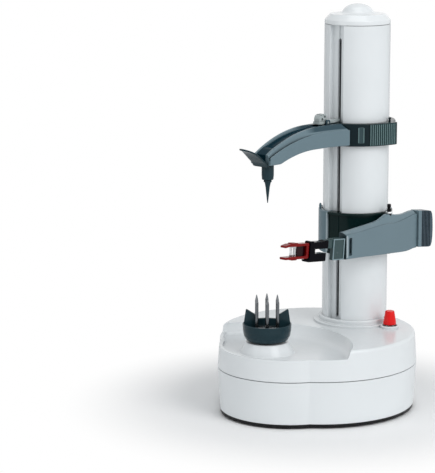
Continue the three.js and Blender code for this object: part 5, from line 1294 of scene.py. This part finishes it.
class PEELER_OT_blade(bpy.types.Operator):
    """Steel blade: a bowed strip with a slot and two pivots"""
    bl_idname = "peeler.blade"
    bl_label = "Blade"

    def execute(self, context):
        sections = []
        for i in range(13):
            h = -3.5 + 7 * i / 12
            bow = 0.35 * (1 - (h / 3.5) ** 2)
            ring = [(-0.25 + bow, 51.8), (0.2 + bow, 51.8), (0.45 + bow, 52.6), (0.45 + bow, 57.2),
                    (0.1 + bow, 58.2), (-0.1 + bow, 58.2), (-0.45 + bow, 57.2), (-0.45 + bow, 52.6)]
            sections.append([in_head(-0.6 + x, s, h) for x, s in ring])
        piece = lofted("blade_strip", sections)
        cut(piece, head_plate("blade_slot", oblong(54.2, 56.1, -2.6, 2.6, 0.3),
                              3, -0.5))
        pivots = []
        for side in (-1, 1):
            points = [in_head(-0.5 + a, 55 + b, side * 3.2) for a, b in circle(0.7, 16)]
            lift = Vector(in_head(0, 0, side * 4.7)) - Vector(in_head(0, 0, side * 3.2))
            pivots.append(traced(f"blade_pivot_{side}", points, lift))
        hand_over(smooth(together(piece, *pivots)), "swivel_blade", "steel", "Blade steel", "blade")
        return {"FINISHED"}


def grip_face(share):
    """A place on the collar's flared grip, and how far its outward side is turned from the frame's +Y."""
    start, end, bulge = Vector(GRIP_FACE[0]), Vector(GRIP_FACE[1]), 1.0
    run = end - start
    out = Vector((run.y, -run.x)).normalized()
    point = start + run * share + out * 4 * bulge * share * (1 - share)
    along = run + out * 4 * bulge * (1 - 2 * share)
    return tuple(point), math.degrees(math.atan2(-along.x, along.y)) - 90


class PEELER_OT_collar(bpy.types.Operator):
    """Upper collar: a ribbed ring with a pane on each side, a flared grip and the tongue for the arm"""
    bl_idname = "peeler.collar"
    bl_label = "Upper collar"

    def execute(self, context):
        count = context.scene.peeler_sizes.collar_ribs
        low, high = COLLAR
        r = COLLAR_R
        piece = ring_of("collar_ring", [(COLLAR_BORE, low, 0.4), (r, low, 0.8), (r, high, 0.8),
                                        (COLLAR_BORE, high, 0.5)])
        edge = r + 1.5
        rib = upright("rib", [(-1.2, -r + 0.8), (1.2, -r + 0.8), (1.2, -edge, 0.75), (-1.2, -edge, 0.75)],
                      low + 0.1,
                      high - 0.1)
        eased_where(rib, lambda e: abs(e.verts[0].co.z - e.verts[1].co.z) < 0.01 * MM
                    and e.calc_face_angle(0) > 1 and e.verts[0].co.y < place(0, -r - 0.2, 0).y, 0.5, 3)
        ribs = copies(rib, {f"rib_{i}": -60 - 7 * i for i in range(count)})
        band = [round_column(r - 1, a)[:2] for a in range(57, 142, 2)]
        band += [round_column(r + 0.85, a)[:2] for a in range(141, 56, -2)]
        add(piece, upright("rib_band", [(-x, y) for x, y in band], low + 0.5, high - 0.5))
        add(piece, together(*ribs))
        face = [grip_face(i / 20) for i in range(21)]
        outline = [point for point, _ in face[:-1]] + [(*face[-1][0], 1.6), (32.4, 9.2, 1.2), (26.4, 9.2)]
        outline += [round_column(r - 1.4, a)[:2] for a in range(104, 58, -6)]
        wing = upright("grip_wing", outline, low + 0.1, high - 0.1)
        add(piece, eased(wing, 0.5, 60, 3))
        # Light teeth across the grip's face: painted highlight on the rib crests.
        tooth = upright("tooth", [(-0.42, -0.8), (0.42, -0.8), (0.42, 0.6, 0.4), (-0.42, 0.6, 0.4)],
                        low + 0.8, high - 0.8)
        teeth = []
        for i in range(count + 1):
            (x, y), turn = grip_face((i + 0.6) / (count + 1.4))
            teeth.append(twin(tooth, f"tooth_{i}", shift=(x, y, 0), turn=turn))
        drop(tooth)
        hand_over(smooth(together(*teeth)), "upper_assembly", "dark_slate_plastic", "Rib slate",
                  "upper_collar")
        # Lighter panes, with light beads at their borders: painted reflection and painted highlights.
        pane = fronted("pane", oblong(-2.5, 2.5, 198.4, 210.6, 0.9),
                       -r - 0.35, -r + 1.6)
        highlight_bead = eased(box("pane_bead", -0.4, 0.4, -r - 0.8, -r + 1, 199, 210), 0.3)
        panes = copies(pane, {"pane_-1": -47.4, "pane_1": 47.4})
        highlight_beads = copies(highlight_bead, {"bead_0": -51, "bead_1": -43.8, "bead_2": 43.8, "bead_3": 51})
        hand_over(smooth(eased(together(*panes), 0.25)), "upper_assembly", "dark_slate_plastic", "Pane slate",
                  "upper_collar")
        hand_over(smooth(together(*highlight_beads)), "upper_assembly", "dark_slate_plastic", "Rib slate",
                  "upper_collar")
        tongue = eased(box("tongue", -5.6, 5.6, -r - 14, -25.4, 198.6, 205), 0.4)
        add(piece, key("collar_key", low, high), tongue)
        stud = turned("stud", [(0, 212), (0.9, 212), (0.9, 213.9, 0.3), (0.7, 214.1, 0.1), (0.7, 214.4, 0.1),
                               (1.05, 214.6, 0.2), (1.05, 215.9, 0.4), (0, 216)],
                               *round_column(27.2, 106)[:2], 24)
        together(piece, stud)
        hand_over(smooth(piece), "upper_assembly", "dark_slate_plastic", "Ribbed slate", "upper_collar")
        return {"FINISHED"}


def arc_drop(y, peak, radius):
    run = max(0.0, peak - y)
    return radius - math.sqrt(radius * radius - run * run)


def arm_line(y):
    """The groove under the arm's ridge at a place along it: outer wall, inner wall, floor and mouth."""
    half = min(9.8 + 1.2 * (y + 106) / 54, 11) + 7 * min(max((y + 52) / 30, 0), 1) ** 2
    side = 208.9 - arc_drop(y, -47.0, 140)
    width = 0.3 + 0.95 * min(max((-60 - y) / 20, 0), 1)
    return half - 0.6, half - 0.6 - width, side - 2.2 * min(max((-60 - y) / 12, 0), 1), side


def arm_section(y):
    """The arm across its length: flat sides, a fine dark groove under two ridges, a hollow between them."""
    outer, inner, floor, side = arm_line(y)
    half = outer + 0.6
    crown = 213.0 - arc_drop(y, -50.0, 110)
    bottom = max(190.0, 196.9 - arc_drop(y, -58.0, 102))
    fade = min(max((y + 100) / 8, 0), 1) * min(max((-46.6 - y) / 8, 0), 1)
    fade = fade * fade * (3 - 2 * fade)
    hollow = 2.4 * fade
    ridge = half * 0.66
    right = [(half - 1.0, bottom), (half - 0.3, bottom + 0.25), (half, bottom + 0.9), (half, side - 0.7),
             (half - 0.15, side - 0.25), (half - 0.45, side - 0.05), (outer, floor), (inner, floor),
             (inner - 0.2, side + 0.35), (ridge + 0.9, crown - 0.75), (ridge + 0.3, crown - 0.2),
             (ridge - 0.5, crown), (half * 0.56, crown - 0.02), (half * 0.50, crown - 0.12 - 0.2 * fade),
             (half * 0.45, crown - 0.15 - 0.65 * hollow), (half * 0.36, crown - 0.15 - hollow),
             (half * 0.12, crown - 0.15 - 1.06 * hollow)]
    left = [(-x, z) for x, z in reversed(right)]
    return [(x, y, z) for x, z in right + left]


class PEELER_OT_arm(bpy.types.Operator):
    """Upper arm: arched, with two ridges and a hollow between them, and ears for the release lever"""
    bl_idname = "peeler.arm"
    bl_label = "Upper arm"

    def execute(self, context):
        front, rear, count = -106.0, -22.0, 56
        piece = lofted("arm_arch",
                       [arm_section(front + (rear - front) * i / count) for i in range(count + 1)])
        eased_where(piece, lambda e: sharp(e, 60)
                    and max(v.co.y for v in e.verts) < place(0, front + 0.05, 0).y, 0.8, 4)
        # Black strips low in the fine grooves under the ridges: painted shade that keeps the grooves dark.
        groove_shade_strips = []
        for side in (-1, 1):
            sections = []
            for i in range(25):
                y = -104.6 + 40.6 * i / 24
                outer, inner, bottom, mouth = arm_line(y)
                lid = bottom + (mouth - bottom) * 0.78
                sections.append([(side * outer, y, bottom), (side * outer, y, lid), (side * inner, y, lid),
                                 (side * inner, y, bottom)])
            groove_shade_strips.append(lofted(f"arm_seal_{side}", sections))
        hand_over(smooth(together(*groove_shade_strips)), "upper_assembly", "black_plastic", "Satin black", "upper_arm")
        low, high = 188, 214
        cut(piece, drum("collar_room", COLLAR_R + 1.5, low, high),
            box("tongue_room", -5.9, 5.9, -COLLAR_R - 14.3, -COLLAR_R + 1, 198.3, 205.3),
            upright("sump", oblong(-3.7, 3.7, -49, -34, 0.4), 209.4, 215),
            drum("peg_hole", 3.1, 188, 196.8, 0, SPINDLE_Y, 32))
        for side in (-1, 1):
            x0, x1 = sorted((side * 3.7, side * 5.1))
            ear = sideways(f"ear_{side}", [(-40.2, 208), (-35.8, 208), (-35.8, 216.4, 1.7),
                                           (-40.2, 216.4, 1.7)], x0, x1)
            add(piece, eased(ear, 0.25, 40, 2))
        cut(piece, rod_across("ear_hole", -5.5, 11, *RELEASE_PIN, 1.1))
        hand_over(smooth(piece, 26), "upper_assembly", "slate_plastic", "Arm slate", "upper_arm")
        return {"FINISHED"}


class PEELER_OT_tip(bpy.types.Operator):
    """Tip holder with its thumb tab, and the spike that turns in it"""
    bl_idname = "peeler.tip"
    bl_label = "Tip holder and spike"

    def execute(self, context):
        y = SPINDLE_Y
        sleeve = turned("tip_sleeve", [(0, 178.4), (4.2, 178.4, 0.4), (4.5, 182, 0.5), (4.5, 189.2, 0.2),
                                       (3, 189.3, 0.2), (3, 196.4, 0.4), (0, 196.4)], 0, y, 48)
        rises = sorted((-sy, z) for sy, z, _ in TAB_STATIONS)
        halves = sorted((-sy, h) for sy, _, h in TAB_STATIONS)
        sections = []
        count = 30
        for i in range(count + 1):
            along = 98.6 + 29.7 * math.sin(i / count * math.pi / 2)
            z, half = flowing(rises, along), max(flowing(halves, along), 0.35)
            dish = min(max((along - 108) / 8, 0), 1) * 0.8 * half / 7.6
            thick = 0.75 * min(1.0, half / 1.2)
            ring = [(half, 0.0), (half - 0.3, 0.55 * thick), (half * 0.75, thick - 0.45 * dish),
                    (half * 0.35, thick - dish), (-half * 0.35, thick - dish),
                    (-half * 0.75, thick - 0.45 * dish),
                    (-half + 0.3, 0.55 * thick), (-half, 0.0), (-half + 0.3, -0.55 * thick),
                    (-half * 0.75, -thick), (half * 0.75, -thick), (half - 0.3, -0.55 * thick)]
            sections.append([(x, -along, z + up) for x, up in ring])
        tab = lofted("tip_tab", sections)
        add(sleeve, tab)
        cut(sleeve, drum("shank_room", 2.3, 178, 187.7, 0, y, 32))
        hand_over(smooth(sleeve, 40), "upper_assembly", "dark_slate_plastic", "Dark slate", "tip_holder")
        spike = turned("spike", [(0, 161), (0.3, 161.3), (1.35, 170.5, 3), (1.5, 172.3, 1), (2.3, 176.4, 0.3),
                                 (2.9, 176.5, 0.2), (2.9, 178.1, 0.3), (2, 178.2, 0.1), (2, 187.4, 0.3),
                                 (0, 187.4)], 0, y,
                       40)
        hand_over(smooth(spike), "spike", "dark_slate_plastic", "Dark slate", "holding_spike")
        return {"FINISHED"}


class PEELER_OT_release(bpy.types.Operator):
    """Release lever on the arm, with its thumb pad"""
    bl_idname = "peeler.release"
    bl_label = "Release lever"

    def execute(self, context):
        piece = upright("release_bar", [(-3.4, -46, 0.8), (3.4, -46, 0.8), (3.4, -27, 1), (-3.4, -27, 1)],
                        213.4, 215.3)
        pawl = box("pawl", -1.9, 1.9, -28, -20.6, 213.4, 215.3)
        pad = sideways("pad", [(-45.4, 214.4), (-37.4, 214.4), (-37.4, 220.6, 1.0), (-42.6, 220.6, 1.4),
                               (-44.6, 219.6, 1), (-45.4, 217.6, 0.8)], -2.6, 2.6)
        add(piece, pawl, pad)
        for i in range(2):
            y = -43.2 + 2.2 * i
            cut(piece, box(f"pad_groove_{i}", -4, 4, y - 0.4, y + 0.4, 219.7, 222))
        for i, (y, z) in enumerate(((-39.2, 218.7), (-42.0, 216.9))):
            cut(piece, rod_across(f"pad_hole_{i}", 0.6, 3, y, z, 0.95))
        eased(piece, 0.3, 40, 2)
        together(piece, eased(rod_across("release_pin", -5, 10, *RELEASE_PIN, 0.9, 20), 0.15, 40, 2))
        hand_over(smooth(piece), "release", "grey_plastic", "Light grey", "release_lever")
        return {"FINISHED"}


# Stage

def lamp(name, place_at, aim, size, energy):
    data = bpy.data.lights.new(name, "AREA")
    data.shape = "RECTANGLE"
    data.size, data.size_y = size
    data.energy = energy
    made = bpy.data.objects.new(name, data)
    bpy.context.collection.objects.link(made)
    made.location = place_at
    made.rotation_euler = (Vector(aim) - Vector(place_at)).to_track_quat("-Z", "Y").to_euler()
    return made


def mixed_shader(tree, share, first, second):
    mixed = node(tree, "ShaderNodeMixShader")
    for socket, source in zip(mixed.inputs, (share, first.outputs[0], second.outputs[0])):
        tree.links.new(source, socket)
    return mixed.outputs[0]


class PEELER_OT_stage(bpy.types.Operator):
    """Pale floor, soft lamps and the camera at the photograph's angle"""
    bl_idname = "peeler.stage"
    bl_label = "Stage"

    def execute(self, context):
        colours = context.scene.peeler_colours
        rest()
        bpy.ops.mesh.primitive_plane_add(size=8, location=(0, 0, 0))
        floor = bpy.context.object
        floor.name = "floor"
        tree, shader = new_material("Pale floor", {"Roughness": 0.6, "Specular IOR Level": 0.2})
        where = own_place(tree)
        tone = node(tree, "ShaderNodeMix", {"data_type": "RGBA"})
        tone.inputs[6].default_value = (*colours.floor, 1)
        tone.inputs[7].default_value = (*(c * 0.99 for c in colours.floor), 1)
        tree.links.new(noise(tree, where, 2.0, scale=30.0), tone.inputs[0])
        tree.links.new(tone.outputs[2], shader.inputs["Base Color"])
        far = node(tree, "ShaderNodeVectorMath", {"operation": "LENGTH"})
        tree.links.new(where, far.inputs[0])
        mask = ranged(tree, far.outputs["Value"], *FLOOR_FADE, interpolation_type="SMOOTHSTEP")
        seen = maths(tree, "MULTIPLY", node(tree, "ShaderNodeLightPath").outputs["Is Camera Ray"], mask)
        white = node(tree, "ShaderNodeEmission", {"Color": (1, 1, 1, 1), "Strength": 1.0})
        mixed = mixed_shader(tree, seen, shader, white)
        tree.links.new(mixed, tree.nodes["Material Output"].inputs["Surface"])
        floor.data.materials.append(bpy.data.materials["Pale floor"])

        world = bpy.data.worlds.new("Studio")
        world.use_nodes = True
        tree = world.node_tree
        tree.nodes.clear()
        rays = node(tree, "ShaderNodeLightPath").outputs
        shiny = maths(tree, "MAXIMUM", rays["Is Camera Ray"], rays["Is Glossy Ray"])
        direct = maths(tree, "MAXIMUM", shiny, rays["Is Transmission Ray"])
        soft = node(tree, "ShaderNodeBackground", {"Color": (0.93, 0.97, 1.0, 1), "Strength": WORLD_LIGHT})
        bright = node(tree, "ShaderNodeBackground", {"Color": (1, 1, 1, 1), "Strength": 1.0})
        node(tree, "ShaderNodeOutputWorld", Surface=mixed_shader(tree, direct, soft, bright))
        context.scene.world = world

        across = Vector((math.cos(VIEW_TURN), math.sin(VIEW_TURN), 0))
        away = Vector((-math.sin(VIEW_TURN), math.cos(VIEW_TURN), 0))
        up = Vector((0, 0, 1))
        middle = up * AIM_HEIGHT
        for name, (right, back, high), size, energy in LAMPS:
            lamp(name, middle + across * right + away * back + up * high, middle, size, energy)
        lens = bpy.data.cameras.new("camera")
        camera = bpy.data.objects.new("camera", lens)
        context.collection.objects.link(camera)
        forward = away * math.cos(VIEW_PITCH) - up * math.sin(VIEW_PITCH)
        above = away * math.sin(VIEW_PITCH) + up * math.cos(VIEW_PITCH)
        pose = Matrix((across, above, -forward)).transposed().to_4x4()
        right, back, high = CAMERA_AT
        pose.translation = across * right + away * back + up * high + Vector((0, COLUMN_Y * MM, 0))
        camera.matrix_world = pose
        lens.sensor_width = SENSOR
        lens.lens = FOCAL_SHARE * SENSOR
        lens.clip_start, lens.clip_end = 0.05, 20
        context.scene.camera = camera
        context.scene.view_settings.view_transform = "Standard"
        return {"FINISHED"}


PIECES = (
    PEELER_OT_finishes, PEELER_OT_carried, PEELER_OT_lower_housing, PEELER_OT_upper_housing, PEELER_OT_column,
    PEELER_OT_column_ends, PEELER_OT_lead_screw, PEELER_OT_cup, PEELER_OT_prongs, PEELER_OT_button,
    PEELER_OT_carriage, PEELER_OT_pin, PEELER_OT_lever, PEELER_OT_grip, PEELER_OT_cartridge,
    PEELER_OT_carrier,
    PEELER_OT_fork, PEELER_OT_blade, PEELER_OT_collar, PEELER_OT_arm, PEELER_OT_tip, PEELER_OT_release,
    PEELER_OT_stage,
)


class PEELER_PT_panel(bpy.types.Panel):
    """Lists the peeler's sizes, colours and pieces"""
    bl_idname = "PEELER_PT_panel"
    bl_label = "Peeler"
    bl_space_type = "VIEW_3D"
    bl_region_type = "UI"
    bl_category = "Peeler"

    def draw(self, context):
        layout = self.layout
        for group in (context.scene.peeler_sizes, context.scene.peeler_colours):
            for name in group.__annotations__:
                layout.prop(group, name)
        for piece in PIECES:
            layout.operator(piece.bl_idname)


CLASSES = (PeelerSizes, PeelerColours, *PIECES, PEELER_PT_panel)


def register():
    for cls in CLASSES:
        bpy.utils.register_class(cls)
    bpy.types.Scene.peeler_sizes = bpy.props.PointerProperty(type=PeelerSizes)
    bpy.types.Scene.peeler_colours = bpy.props.PointerProperty(type=PeelerColours)


def unregister():
    del bpy.types.Scene.peeler_colours
    del bpy.types.Scene.peeler_sizes
    for cls in reversed(CLASSES):
        bpy.utils.unregister_class(cls)


def main():
    register()
    for piece in PIECES:
        group, name = piece.bl_idname.split(".")
        getattr(getattr(bpy.ops, group), name)()
    rest()


if __name__ == "__main__":
    main()
